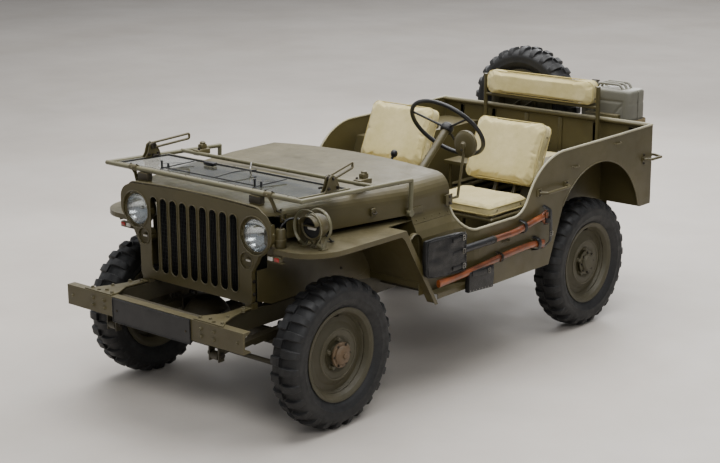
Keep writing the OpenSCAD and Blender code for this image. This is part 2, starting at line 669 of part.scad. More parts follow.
grille_y = -262;
grille_depth = 24;
grille_side = 376;
function grille_half(i) = concat(
    arc([grille_side - i - 24, 592 + i + 24], 24, 270, 360, 5),
    [[grille_side - i, 745], [430 - i, 836]],
    arc([506 - i - 60, 925], 60, -35, 0, 4), arc([506 - i - 72, 965], 72, 0, 62, 7),
    [[428 - i, hood_front_top - 17 - i]],
    [for (k = [1 : 4]) let (t = 1 - k / 4) [(428 - i) * t, hood_front_top - panel - i - 14 * t * t]]);
function grille_outline(i) = let (h = grille_half(i))
    concat(h, [for (k = [len(h) - 2 : -1 : 0]) [-h[k].x, h[k].y]]);
slot_z = [634, 1000];
lamp_x = 399;
lamp_z = 920;
marker_x = 348;
marker_z = 796;
module slot() translate([0, (slot_z[0] + slot_z[1]) / 2])
    round_rect(slot_w, slot_z[1] - slot_z[0], slot_w / 2 - 0.5);
module grille_openings(grow) {
    for (i = [0 : slot_count - 1])
        translate([(i - (slot_count - 1) / 2) * slot_pitch, 0]) slot();
    for (s = [-1, 1]) {
        translate([s * lamp_x, lamp_z]) circle(headlight_r + grow);
        intersection() {
            translate([s * marker_x, marker_z]) circle(marker_r + grow);
            translate([s * (marker_x - 6) - 40, marker_z - 50]) square([80, 100]);
        }
    }
}
module grille() color("#4f4d36") car() {
    cross_plate(grille_y, grille_y + panel) difference() {
        polygon(grille_outline(0));
        grille_openings(4);
    }
    // turned-back rim at the sides and the bottom
    intersection() {
        cross_plate(grille_y + panel, grille_y + grille_depth) difference() {
            polygon(grille_outline(0));
            polygon(grille_outline(panel));
            for (s = [-1, 1]) translate([s * lamp_x, lamp_z]) circle(headlight_r + 4);
        }
        block([-600, -400, 500], [600, 0, 985]);
    }
    // feet on the frame
    both_sides() block([rail_in, grille_y + panel, rail_foot()], [rail_out, grille_y + 40, 595]);
}
function rail_foot() = bumper_z + horn_h / 2 + (rail_front_z + horn_h - bumper_z - horn_h / 2)
    * (grille_y + 3 - horn_y) / (kick_front[0] - horn_y) + 0.2;

// ---------- fenders ----------

apron_x = 386;
apron_z = 575;
slope_y = [385, 622];                         // sloped rear part: top and bottom
slope_z = 461;
fender_front = -236;
fender_lip = 24;
function fender_edge(i) = concat([[apron_x - 1, fender_front + i], [560 - i, fender_front + i]],
    [for (t = [0.1 : 0.1 : 1]) [560 + (fender_x - 560) * sin(90 * t) - i,
        fender_front + 200 * (1 - cos(90 * t)) + i * (1 - t)]],
    [[fender_x - i, slope_y[0]]]);
module fender() difference() {
    fender_sheets();
    // room for the headlight and the marker lamp
    block([300, fender_front - 20, marker_z - marker_r - 9], [lamp_x + headlight_r + 7, -168, fender_z + 1]);
}
module fender_sheets() {
    z = fender_z;
    flat_plate(z - panel, z) polygon(concat(fender_edge(0), [[apron_x - 1, slope_y[0]]]));
    flat_plate(z - fender_lip, z - panel + 1) difference() {
        polygon(concat(fender_edge(0), [[apron_x - 1, slope_y[0]]]));
        polygon(concat(fender_edge(panel), [[apron_x - 2, slope_y[0] + 1], [apron_x - 2, fender_front + panel]]));
    }
    // sloped rear part, narrow beside the body
    for (p = [[z, cowl_y[0] - 8, apron_x - 1], [0, slope_y[1], low_side_x + gap]])
        intersection() {
            side_plate(p[2], fender_x) polygon([[slope_y[0] - 5, z], [slope_y[0] - 5, z - panel],
                [slope_y[0] - 1, z - panel], [slope_y[1], slope_z], [slope_y[1] + 5, slope_z],
                [slope_y[0] + 5, z]]);
            block([0, p[0] > 0 ? 0 : cowl_y[0] - 8, 0], [900, p[1] + 6, 2000]);
        }
    // outer flange of the sloped part
    side_plate(fender_x - panel, fender_x) polygon([[slope_y[0] - 30, z - panel],
        [slope_y[0] + 2, z - panel], [slope_y[1] + 2, slope_z], [slope_y[1] - 16, slope_z],
        [slope_y[0] - 8, z - fender_lip - 18], [slope_y[0] - 30, z - fender_lip]]);
    // inner apron
    side_plate(apron_x - panel, apron_x) polygon([[fender_front, z], [fender_front, apron_z + 30],
        [-150, apron_z], [480, apron_z], [cowl_y[0] - gap, apron_z + 40], [cowl_y[0] - gap, z]]);
    flat_plate(z - panel, z) polygon([[apron_x - 1, slope_y[0] - 4], [cowl_x, slope_y[0] - 4],
        [cowl_x, cowl_y[0] - gap], [apron_x - 1, cowl_y[0] - gap]]);
}
module fender_left() color("#5f5d45") car() fender();
module fender_right() color("#5f5d45") car() mirror([1, 0, 0]) fender();

// ---------- windshield ----------

shield_front_y = -216;
shield_front_z = 1107;
shield_pivot = [shield_x, 534, 913];
shield_bend = [shield_x, 541, 1072];
shield_mid_y = 272;
function shield_at(y) = shield_front_z + (shield_bend.z - shield_front_z)
    * (y - shield_front_y) / (shield_bend.y - shield_front_y);
module windshield_frame() color("#5f5d45") car() {
    r = shield_tube_r;
    mid_z = shield_at(shield_mid_y) + 4;
    bent_bar([shield_pivot + [0, 0, 12], shield_bend,
        [shield_x, shield_front_y, shield_front_z], [-shield_x, shield_front_y, shield_front_z],
        [-shield_x, shield_bend.y, shield_bend.z],
        [-shield_x, shield_pivot.y, shield_pivot.z + 12]], r);
    rod([-shield_x, shield_mid_y, mid_z], [shield_x, shield_mid_y, mid_z], r - 1);
    both_sides() disc_x(shield_pivot, 17, 18);
    // inner frame that holds the glass, hung from the front tube by three lugs
    in_shield() {
        difference() {
            slab(glass_edge_x + 9, 10, 14);
            slab(glass_edge_x - 5, -4, 30);
            slab(glass_edge_x + gap, gap, glass_t + 2 * gap);
        }
        for (x = [-420, 0, 420]) block([x - 18, -24, -5], [x + 18, -8, 5]);
    }
}
glass_edge_x = 600;
// Places a piece in the plane of the folded windshield
module in_shield() translate([0, shield_front_y + shield_tube_r + 16, shield_at(shield_front_y + 20)])
    rotate([-atan2(shield_front_z - shield_bend.z, shield_bend.y - shield_front_y), 0, 0]) children();
module slab(half, margin, t) block([-half, -margin, -t / 2], [half, glass_h + margin, t / 2]);
module windshield_glass() color("#9aa3a8") car() in_shield() slab(glass_edge_x, 0, glass_t);

// ---------- controls ----------

module along_column(d) translate(column_point(wheel_hub.y)) rotate([column_angle - 90, 0, 0])
    translate([0, 0, d]) children();
column_r = 20;
module steering_wheel() color("#2e2e28") car() along_column(0) {
    rotate_extrude($fn = 72) translate([wheel_ring_r - 11, 0]) circle(11, $fn = 24);
    translate([0, 0, -22]) cylinder(h = 34, r = 30);
    for (a = [90, 210, 330]) rotate([0, 0, a])
        translate([20, 0, -2]) rotate([0, 90, 0]) cylinder(h = wheel_ring_r - 34, r = 6, $fn = 24);
}
module steering_column() color("#4b4a35") car() {
    l = 900;
    q = along_end(l);
    along_column(-22 - gap - l) cylinder(h = l, r = column_r);
    // steering gear on top of the frame rail
    side_plate(column_x - 42, column_x + 28) polygon([[432, rail_top(432)], [556, rail_top(556)],
        [556, q.z + 60], [432, q.z + 34]]);
}
function rail_top(y) = 0.2 + rail_front_z + horn_h
    + (floor_under - rail_front_z - horn_h) * (y - kick_front[0]) / (kick_front[1] - kick_front[0]);
function along_end(l) = wheel_hub - (l + 22) * [0, cos(column_angle), sin(column_angle)];

function tunnel_top(y) = 680 - (y - 720) * (650 - floor_z) / 320;
module control_levers() color("#33332a") car() {
    // gear lever with its knob and two transfer levers on the tunnel
    side_plate(-24, 118) polygon([[930, tunnel_top(930) + 0.2], [1012, tunnel_top(1012) + 0.2],
        [1008, tunnel_top(1008) + 16], [934, tunnel_top(934) + 16]]);
    bent_bar([[0, 958, tunnel_top(958) + 8], [10, 1060, 860], [40, 1130, 1010]], 7);
    translate([42, 1137, 1024]) sphere(18);
    for (x = [70, 100]) {
        rod([x, 990, tunnel_top(990) + 8], [x + 4, 1050, 800], 6);
        translate([x + 4, 1051, 806]) sphere(13);
    }
    // two pedals
    for (x = [230, 430]) {
        rod([x, 690, floor_z + 1.5], [x, 668, 700], 8);
        block([x - 32, 655, 696], [x + 32, 667, 760]);
    }
}

// ---------- seats ----------

seat_y = [1240, 1588];
cushion_t = 66;
back_lean = 23.6;
back_foot = [1583, 850];                      // front lower edge of the seat back
back_t = 82;
seat_x = 378;
tube = 12;                                    // radius of the seat tubes
seat_half = seat_w / 2 - tube - 4;
seat_tube_z = seat_z - cushion_t - tube - 0.5;
seat_foot = [seat_y[0] + 40, floor_z + tube + gap];
module seat_frame(x) {
    r = tube;
    h = seat_half;
    z = seat_tube_z;
    y1 = seat_y[1] - 6;
    for (s = [-1, 1]) {
        bent_bar([[x + s * h, seat_foot[0], seat_foot[1]], [x + s * h, seat_y[0] + 26, z],
            [x + s * h, y1, z], [x + s * h, y1 - 24, floor_z + 5]], r);
        disc_x([x + s * h, seat_foot[0], seat_foot[1]], r, 34);
        block([x + s * h - 18, y1 - 44, floor_z + gap], [x + s * h + 18, y1 - 2, floor_z + 8]);
        bent_bar([[x + s * 62, y1, z], [x + s * 62, y1 + 40, z],
            back_point(x + s * 62, -10, back_t + r + 0.8), back_point(x + s * 62, 260, back_t + r + 0.8)], r);
    }
    rod([x - h, seat_y[0] + 26, z], [x + h, seat_y[0] + 26, z], r);
    rod([x - h, y1, z], [x + h, y1, z], r);
    rod(back_point(x - h, 256, back_t + r + 0.8), back_point(x + h, 256, back_t + r + 0.8), r);
    // pan under the cushion
    block([x - h, seat_y[0] + 30, z - 2], [x + h, y1 - 4, z + 2]);
}
// A point on the seat back: along it, and behind its front face
function back_point(x, up, behind) = [x,
    back_foot[0] + up * sin(back_lean) + behind * cos(back_lean),
    back_foot[1] + up * cos(back_lean) - behind * sin(back_lean)];
module seat_cushions(x) {
    translate([x, (seat_y[0] + seat_y[1]) / 2, seat_z - cushion_t])
        linear_extrude(cushion_t) round_rect(seat_w, seat_y[1] - seat_y[0], 30);
    translate([x, back_foot[0], back_foot[1]]) rotate([-back_lean, 0, 0])
        cross_plate(0, back_t) translate([0, back_h / 2]) round_rect(seat_w, back_h, 45);
}
module driver_seat_frame() color("#4b4a35") car() seat_frame(seat_x);
module passenger_seat_frame() color("#4b4a35") car() seat_frame(-seat_x);
module driver_cushions() color("#d8cfa2") car() seat_cushions(seat_x);
module passenger_cushions() color("#d8cfa2") car() seat_cushions(-seat_x);

rear_pan_z = 775;
rear_cushion_t = 60;
rear_back_z = [1122, 1264];
rear_back_y = [back_y - 62, back_y + 20];
post_x = 398;
post_y = back_y - 40;
module rear_seat_frame() color("#4b4a35") car() {
    y0 = rear_y + 68;
    y1 = rear_y + 440;
    block([-385, y0, rear_pan_z - 20], [385, y1, rear_pan_z]);
    for (x = [-350, 350]) {
        rod([x, y0 + 20, rear_floor_z], [x, y0 + 20, rear_pan_z - 19], 12);
        rod([x, y1 - 20, rear_floor_z], [x, y1 - 20, rear_pan_z - 19], 12);
    }
    both_sides() {
        rod([post_x, post_y, rear_floor_z], [post_x, post_y, rear_back_z[1] - 30], 12);
    }
    rod([-post_x, post_y, rear_back_z[0] - 9.5], [post_x, post_y, rear_back_z[0] - 9.5], 9);
}
module rear_cushions() color("#d8cfa2") car() {
    translate([0, rear_y + 310, rear_pan_z + 0.5]) linear_extrude(rear_cushion_t)
        round_rect(690, 250, 30);
    cross_plate(rear_back_y[0] - 10, rear_back_y[1] - 10) translate([0, (rear_back_z[0] + rear_back_z[1]) / 2])
        round_rect(rear_back_w - 11, rear_back_z[1] - rear_back_z[0], 40);
}

// ---------- drive line ----------

module engine() color("#3c3c30") car() {
    block([-170, -60, 545], [170, 500, 960]);
    block([-110, -100, 560], [110, -60, 700]);
    block([-200, 82, rail_front_z + 36], [200, 118, 545]);
}
module radiator() color("#232320") car() {
    block([-262, -232, 592], [262, -170, 1012]);
    both_sides() block([262, -214, rail_foot()], [rail_in + 30, -176, 640]);
}
module gearbox() color("#3c3b2e") car() {
    // bell housing and gearbox, transfer case on the right, two drive shafts
    block([-120, 500, 520], [120, 640, 672]);
    block([-85, 640, 500], [85, 850, 612]);
    block([-270, 780, 390], [40, skid_y - 70, 530]);
    disc_y([diff_x, 190, tyre_r], 25, 62);
    rod([diff_x, 250, tyre_r], [diff_x, 790, 415], 22);
    rod([diff_x, skid_y - 80, 415], [diff_x, rear_y - 206, tyre_r], 22);
    disc_y([diff_x, rear_y - 212, tyre_r], 25, 22);
    // support on the skid plate
    block([-80, skid_y - 70, floor_under - rail_h + 40], [80, skid_y - 40, 530]);
}
module exhaust() color("#3a342b") car() {
    z = 424;
    rod([192, 300, 600], [212, 420, 480], 19);
    translate([212, 420, 480]) sphere(22);
    rod([212, 420, 480], [220, 760, z], 19);
    translate([220, 760, z]) sphere(21);
    disc_y([220, 760, z], 19, 352);
    disc_y([220, 1110, z], 52, 280);
    disc_y([220, 1380, z], 17, 60);
    disc_x([390, 1430, z], 15, 350);
    // hanger from the silencer to the frame rail
    block([225, 1200, floor_under - rail_h + 4], [rail_in, 1230, floor_under - rail_h + 12]);
}

// ---------- lamps, mirror, handles, loads ----------

blackout = [620, -120, 970];
module lamps() color("#4b4a35") car() {
    both_sides() {
        disc_y([lamp_x, grille_y + 14, lamp_z], headlight_r - 2, 40);
        disc_y([lamp_x, grille_y + 54, lamp_z], headlight_r - 20, 30);
        disc_y([marker_x, grille_y + 10, marker_z], marker_r - 2, 46);
        // ears that hold the lamps to the back of the grille
        for (s = [-1, 1]) block([lamp_x + s * 90 - 10, grille_y + panel + 0.2, lamp_z - 12],
            [lamp_x + s * 90 + 10, grille_y + 34, lamp_z + 12]);
        block([marker_x - 47, grille_y + panel + 0.2, marker_z - 8], [marker_x - 30, grille_y + 30, marker_z + 8]);
        // tail lamps under the rear corners
        disc_y([half_body - 100, back_y, tail_z + 60], 38, 40);
    }
    // blackout drive lamp on its foot, inside a hoop guard
    disc_y(blackout, 58, 60);
    disc_y(blackout + [0, 60, 0], 44, 30);
    translate([blackout.x, blackout.y + 40, fender_z]) cylinder(h = 60, r = 12);
    translate([blackout.x, blackout.y + 40, fender_z]) cylinder(h = 6, r = 34);
}

mirror_c = [652, 962, 1181];
mirror_r = 66;
module side_mirror() color("#4b4a35") car() {
    // bracket on the cowl side, arm and the round head
    block([cowl_x + 0.2, 812, 902], [cowl_x + 15, 850, 946]);
    bent_bar([[cowl_x + 8, 834, 925], [cowl_x + 12, 905, 925],
        [mirror_c.x, mirror_c.y - 14, mirror_c.z]], 7);
    disc_y(mirror_c - [0, 18, 0], mirror_r, 14);
}

handle_x = body_w / 2 + 50;
module grab_handles() color("#4b4a35") car() {
    x = half_body;
    both_sides() {
        for (y = [rear_y - 570, rear_y - 325]) block([x, y - 15, 845], [x + 7, y + 15, 869]);
        bent_bar([[x + 5, rear_y - 570, 857], [handle_x - 8, rear_y - 545, 857],
            [handle_x - 8, rear_y - 350, 857], [x + 5, rear_y - 325, 857]], 8);
        block([x, back_y - 105, 856], [x + 7, back_y - 75, 880]);
        block([x - 105, back_y, 856], [x - 75, back_y + 7, 880]);
        bent_bar([[x + 6, back_y - 90, 868], [handle_x - 8, back_y - 60, 868],
            [handle_x - 8, back_y + 30, 868], [x - 20, back_y + 60, 868],
            [x - 90, back_y + 7, 868]], 8);
    }
}

can_x = 393;
can_z = 775;
can_y = back_y + spare_gap;
module fuel_can() color("#77786c") car() {
    translate([can_x, can_y + can_d / 2, can_z + 3]) linear_extrude(can_h - 26)
        round_rect(can_w, can_d, 28);
    translate([can_x, can_y + can_d / 2, can_z + can_h - 24]) linear_extrude(24)
        round_rect(can_w - 24, can_d - 30, 20);
    // three carrying handles and the filler cap
    for (y = [-42, 0, 42]) translate([can_x + 10, can_y + can_d / 2 + y, can_z + can_h])
        bent_bar([[-85, 0, -6], [-62, 0, 22], [62, 0, 22], [85, 0, -6]], 7);
    translate([can_x - 130, can_y + can_d / 2, can_z + can_h - 6]) cylinder(h = 30, r = 26);
    // rack on the rear panel
    block([can_x - can_w / 2 - 14, back_y, can_z - 4], [can_x + can_w / 2 + 14, can_y + can_d + 6, can_z + 3]);
    block([can_x - 110, back_y, can_z + 40], [can_x + 110, can_y + 1, can_z + 300]);
}

tool_x = half_body + 26;
function shovel_z(y) = 700 + 36 * smooth((y - 1180) / 320);
function axe_z(y) = 570 + 36 * smooth((y - 640) / 700) - 14 * smooth((y - 1360) / 130);
module shovel() color("#a8552a") car() {
    // handle with its grip, socket and covered blade
    handle_bar([for (y = [820 : 84 : 1492]) [tool_x, y, shovel_z(y)]], 15);
    // grip across the end
    block([tool_x - 12, 1480, 690], [tool_x + 12, 1506, 760]);
    // socket and covered blade
    rod([tool_x, 1030, shovel_z(1030)], [tool_x, 790, shovel_z(790)], 19);
    side_plate(tool_x - 18, tool_x + 12) polygon([[500, 640], [620, 608], [802, 598],
        [802, 790], [620, 795], [500, 800]]);
    // bracket from the ledge side
    block([low_side_x + gap, 640, 660], [tool_x - 18, 700, 720]);
    rod([tool_x, 1300, 705], [half_body, 1300, 705], 6);
}
module axe() color("#a8552a") car() {
    handle_bar([for (y = [620 : 72.5 : 1490]) [tool_x, y, axe_z(y)]], 15);
    block([tool_x - 16, 830, 470], [tool_x + 16, 1030, 578]);
    for (y = [1100, 1400]) rod([tool_x, y, axe_z(y)], [half_body, y, axe_z(y)], 6);
}

frame();
front_bumper();
front_plate();
rear_bumperettes();
pintle_hook();
front_axle();
rear_axle();
leaf_springs();
knuckle_left();
knuckle_right();
tie_rod();
tyre_front_left();
tyre_front_right();
tyre_rear_left();
tyre_rear_right();
wheel_front_left();
wheel_front_right();
wheel_rear_left();
wheel_rear_right();
spare_tyre();
spare_wheel();
body_tub();
cowl();
hood();
grille();
fender_left();
fender_right();
windshield_frame();
windshield_glass();
steering_wheel();
steering_column();
driver_seat_frame();
driver_cushions();
passenger_seat_frame();
passenger_cushions();
rear_seat_frame();
rear_cushions();
control_levers();
engine();
radiator();
gearbox();
exhaust();
fuel_can();
lamps();
side_mirror();
grab_handles();
shovel();
axe();
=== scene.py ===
"""Looks of the open army 4x4 car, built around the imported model.

Lengths are in millimetres and measured from the front axle: x to the driver's left, y backwards,
z up from the ground. place() turns them into the row frame.
"""
import math

import bmesh
import bpy
from mathutils import Matrix, Vector, noise
from mathutils.bvhtree import BVHTree


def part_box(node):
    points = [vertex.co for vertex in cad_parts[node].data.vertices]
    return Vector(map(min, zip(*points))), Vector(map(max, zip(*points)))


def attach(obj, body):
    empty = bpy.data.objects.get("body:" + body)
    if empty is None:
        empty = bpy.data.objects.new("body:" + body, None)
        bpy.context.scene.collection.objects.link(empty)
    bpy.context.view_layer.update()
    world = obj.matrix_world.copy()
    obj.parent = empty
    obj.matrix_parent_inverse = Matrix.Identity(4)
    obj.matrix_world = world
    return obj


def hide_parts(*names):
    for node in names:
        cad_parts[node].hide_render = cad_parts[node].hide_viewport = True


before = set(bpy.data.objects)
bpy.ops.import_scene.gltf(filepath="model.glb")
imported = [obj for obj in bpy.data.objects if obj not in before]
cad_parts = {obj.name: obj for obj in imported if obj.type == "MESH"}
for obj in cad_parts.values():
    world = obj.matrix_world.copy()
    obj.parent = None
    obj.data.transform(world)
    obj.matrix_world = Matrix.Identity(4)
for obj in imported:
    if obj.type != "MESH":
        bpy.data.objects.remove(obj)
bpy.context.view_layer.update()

MM = 0.001


def centre_of(node):
    low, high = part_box(node)
    return (low + high) / 2


AXLE_Y = centre_of("tyre_front_left").y
REAR_Y = (centre_of("tyre_rear_left").y - AXLE_Y) / MM
TYRE_R = centre_of("tyre_front_left").z / MM
TYRE_W = (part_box("tyre_front_left")[1].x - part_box("tyre_front_left")[0].x) / MM
HALF_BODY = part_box("body_tub")[1].x / MM
BACK_Y = (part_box("body_tub")[1].y - AXLE_Y) / MM


def place(x, y, z):
    return Vector((x * MM, y * MM + AXLE_Y, z * MM))


def link(name, data):
    obj = bpy.data.objects.new(name, data)
    bpy.context.scene.collection.objects.link(obj)
    return obj


# ---------- camera, floor and light ----------

def add_camera():
    """The camera that took the photograph, fitted to the wheels and the body."""
    data = bpy.data.cameras.new("camera")
    data.sensor_width = 36
    data.lens = 79.763
    data.clip_end = 200
    cam = link("camera", data)
    eye = place(5302.1, -5131.3, 2729.6)
    forward = (place(-355.9, 1315.2, 500) - eye).normalized()
    right = forward.cross(Vector((0, 0, 1))).normalized()
    up = right.cross(forward)
    roll = -0.007
    across = right * math.cos(roll) + up * math.sin(roll)
    upward = up * math.cos(roll) - right * math.sin(roll)
    cam.matrix_world = Matrix((across, upward, -forward)).transposed().to_4x4()
    cam.location = eye
    bpy.context.scene.camera = cam


# name, place and target (m, row frame), size (m) and power (W)
LIGHTS = (
    ("overhead", (0.2, 0.3, 5.2), (0, 0, 0), (6.0, 5.5), 500),
    ("key", (5.0, -4.2, 4.4), (0, 0, 0.7), (2.6, 2.0), 110),
    ("side", (-5.5, -2.0, 3.0), (0, 0, 0.8), (2.5, 2.5), 50),
    ("backdrop", (-4.5, 9.0, 5.5), (-5, 9.2, 0), (14, 10), 620),
    ("back", (-2.0, 6.0, 3.2), (0, 0.5, 0.9), (4, 2.5), 120),
)


def add_light(name, at, target, size, power):
    data = bpy.data.lights.new(name, "AREA")
    data.shape = "RECTANGLE"
    data.size, data.size_y = size
    data.energy = power
    light = link(name, data)
    light.location = at
    light.rotation_mode = "QUATERNION"
    light.rotation_quaternion = (Vector(target) - Vector(at)).to_track_quat("-Z", "Y")


def add_world():
    world = bpy.data.worlds.new("studio")
    bpy.context.scene.world = world
    world.use_nodes = True
    background = world.node_tree.nodes["Background"]
    background.inputs["Color"].default_value = (0.74, 0.76, 0.80, 1)
    background.inputs["Strength"].default_value = 0.36


# ---------- materials ----------

def rgb(red, green, blue):
    """A colour given in sRGB steps of 0 to 255, as linear values."""
    return tuple(((c / 255 + 0.055) / 1.055) ** 2.4 if c > 10 else c / 255 / 12.92
                 for c in (red, green, blue)) + (1,)


class Finish:
    """A node material with one Principled shader and short calls for the usual nodes."""

    def __init__(self, name, colour, roughness=0.5, metallic=0.0, **shader):
        self.material = bpy.data.materials.new(name)
        self.material.use_nodes = True
        self.nodes = self.material.node_tree.nodes
        self.links = self.material.node_tree.links
        self.shader = self.nodes["Principled BSDF"]
        self.set(**{"Base Color": colour, "Roughness": roughness, "Metallic": metallic}, **shader)
        self.where = self.node("ShaderNodeTexCoord").outputs["Object"]
        FINISHES[name] = self.material

    def set(self, **values):
        for name, value in values.items():
            self.shader.inputs[name].default_value = value

    def node(self, kind, **settings):
        made = self.nodes.new(kind)
        for name, value in settings.items():
            setattr(made, name, value)
        return made

    def join(self, socket, value):
        if isinstance(value, bpy.types.NodeSocket):
            self.links.new(value, socket)
        else:
            socket.default_value = value

    def stretched(self, scale):
        mapping = self.node("ShaderNodeMapping")
        self.join(mapping.inputs["Vector"], self.where)
        mapping.inputs["Scale"].default_value = scale
        return mapping.outputs["Vector"]

    def noise(self, scale, detail=4.0, rough=0.6, stretch=None, twist=0.0):
        made = self.node("ShaderNodeTexNoise")
        self.join(made.inputs["Vector"], self.stretched(stretch) if stretch else self.where)
        made.inputs["Scale"].default_value = scale
        made.inputs["Detail"].default_value = detail
        made.inputs["Roughness"].default_value = rough
        made.inputs["Distortion"].default_value = twist
        return made.outputs["Fac"]

    def wave(self, scale, direction="X", twist=0.0):
        made = self.node("ShaderNodeTexWave", wave_type="BANDS", bands_direction=direction)
        self.join(made.inputs["Vector"], self.where)
        made.inputs["Scale"].default_value = scale
        made.inputs["Distortion"].default_value = twist
        return made.outputs["Fac"]

    def between(self, value, low, high, to_low=0.0, to_high=1.0):
        made = self.node("ShaderNodeMapRange")
        self.join(made.inputs["Value"], value)
        for name, number in (("From Min", low), ("From Max", high),
                             ("To Min", to_low), ("To Max", to_high)):
            made.inputs[name].default_value = number
        return made.outputs["Result"]

    def math(self, operation, a, b=0.0):
        made = self.node("ShaderNodeMath", operation=operation)
        self.join(made.inputs[0], a)
        self.join(made.inputs[1], b)
        return made.outputs[0]

    def mix(self, share, a, b, blend="MIX"):
        made = self.node("ShaderNodeMix", data_type="RGBA", blend_type=blend)
        self.join(made.inputs["Factor"], share)
        self.join(made.inputs["A"], a)
        self.join(made.inputs["B"], b)
        return made.outputs["Result"]

    def bump(self, height, strength, distance, below=None):
        made = self.node("ShaderNodeBump")
        self.join(made.inputs["Height"], height)
        made.inputs["Strength"].default_value = strength
        made.inputs["Distance"].default_value = distance
        if below is not None:
            self.join(made.inputs["Normal"], below)
        return made.outputs["Normal"]

    def edges(self, radius):
        """How near an edge is, from 0 to 1, and the normal with its edges rounded."""
        bevel = self.node("ShaderNodeBevel", samples=4)
        bevel.inputs["Radius"].default_value = radius
        normal = self.node("ShaderNodeNewGeometry").outputs["Normal"]
        dot = self.node("ShaderNodeVectorMath", operation="DOT_PRODUCT")
        self.join(dot.inputs[0], bevel.outputs["Normal"])
        self.join(dot.inputs[1], normal)
        off = self.math("SUBTRACT", 1.0, dot.outputs["Value"])
        return self.between(off, 0.0, 1.0 / 6.0), bevel.outputs["Normal"]

    def upward(self):
        """How far the surface faces up, from 0 to 1"""
        parts = self.node("ShaderNodeSeparateXYZ")
        self.join(parts.inputs[0], self.node("ShaderNodeNewGeometry").outputs["Normal"])
        return self.between(parts.outputs["Z"], 0.2, 1.0)

    def use(self, colour=None, roughness=None, normal=None):
        for name, value in (("Base Color", colour), ("Roughness", roughness), ("Normal", normal)):
            if value is not None:
                self.join(self.shader.inputs[name], value)
        return self.material


FINISHES = {}


def army_paint(name, colour, worn_and_highlight, dust_and_top_light, roughness=0.42, wear_and_highlight_share=0.5, dust_and_top_light_share=0.35):
    """Satin brush-finish paint: uneven tone, a lighter colour on what faces up (dust, and painted
    light on the lit tops), rubbed edges in the worn colour (wear, and on the shield_tube finish a
    painted highlight).
    """
    f = Finish(name, colour, roughness)
    darker = tuple(c * 0.72 for c in colour[:3]) + (1,)
    tone = f.mix(f.between(f.noise(2.6, 5, 0.62), 0.35, 0.68), darker, colour)
    tone = f.mix(f.between(f.noise(55, 3, 0.7), 0.45, 0.75, 0.0, 0.22), tone, darker)
    # painted light: upward faces are mixed, in noisy patches, towards a lighter colour that stands
    # for the lit tops as well as for dust
    dusty_lit_tops = f.math("MULTIPLY", f.upward(), f.between(f.noise(7, 6, 0.68), 0.32, 0.72, 0.25, 1.0))
    tone = f.mix(f.math("MULTIPLY", dusty_lit_tops, dust_and_top_light_share), tone, dust_and_top_light)
    edge, rounded = f.edges(0.0022)
    # edges mixed towards the worn colour: rubbed paint, and on the shield_tube finish a painted
    # highlight
    rubbed_and_highlit_edges = f.math("MULTIPLY", edge, f.between(f.noise(24, 5, 0.75), 0.42, 0.62))
    tone = f.mix(f.math("MULTIPLY", rubbed_and_highlit_edges, wear_and_highlight_share), tone, worn_and_highlight)
    rough = f.between(f.noise(16, 5, 0.65), 0.3, 0.75, roughness - 0.07, roughness + 0.16)
    height = f.math("ADD", f.math("MULTIPLY", f.noise(5, 3, 0.5), 0.8),
                    f.math("MULTIPLY", f.noise(420, 2, 0.6), 0.05))
    return f.use(tone, rough, f.bump(height, 0.35, 0.004, rounded))


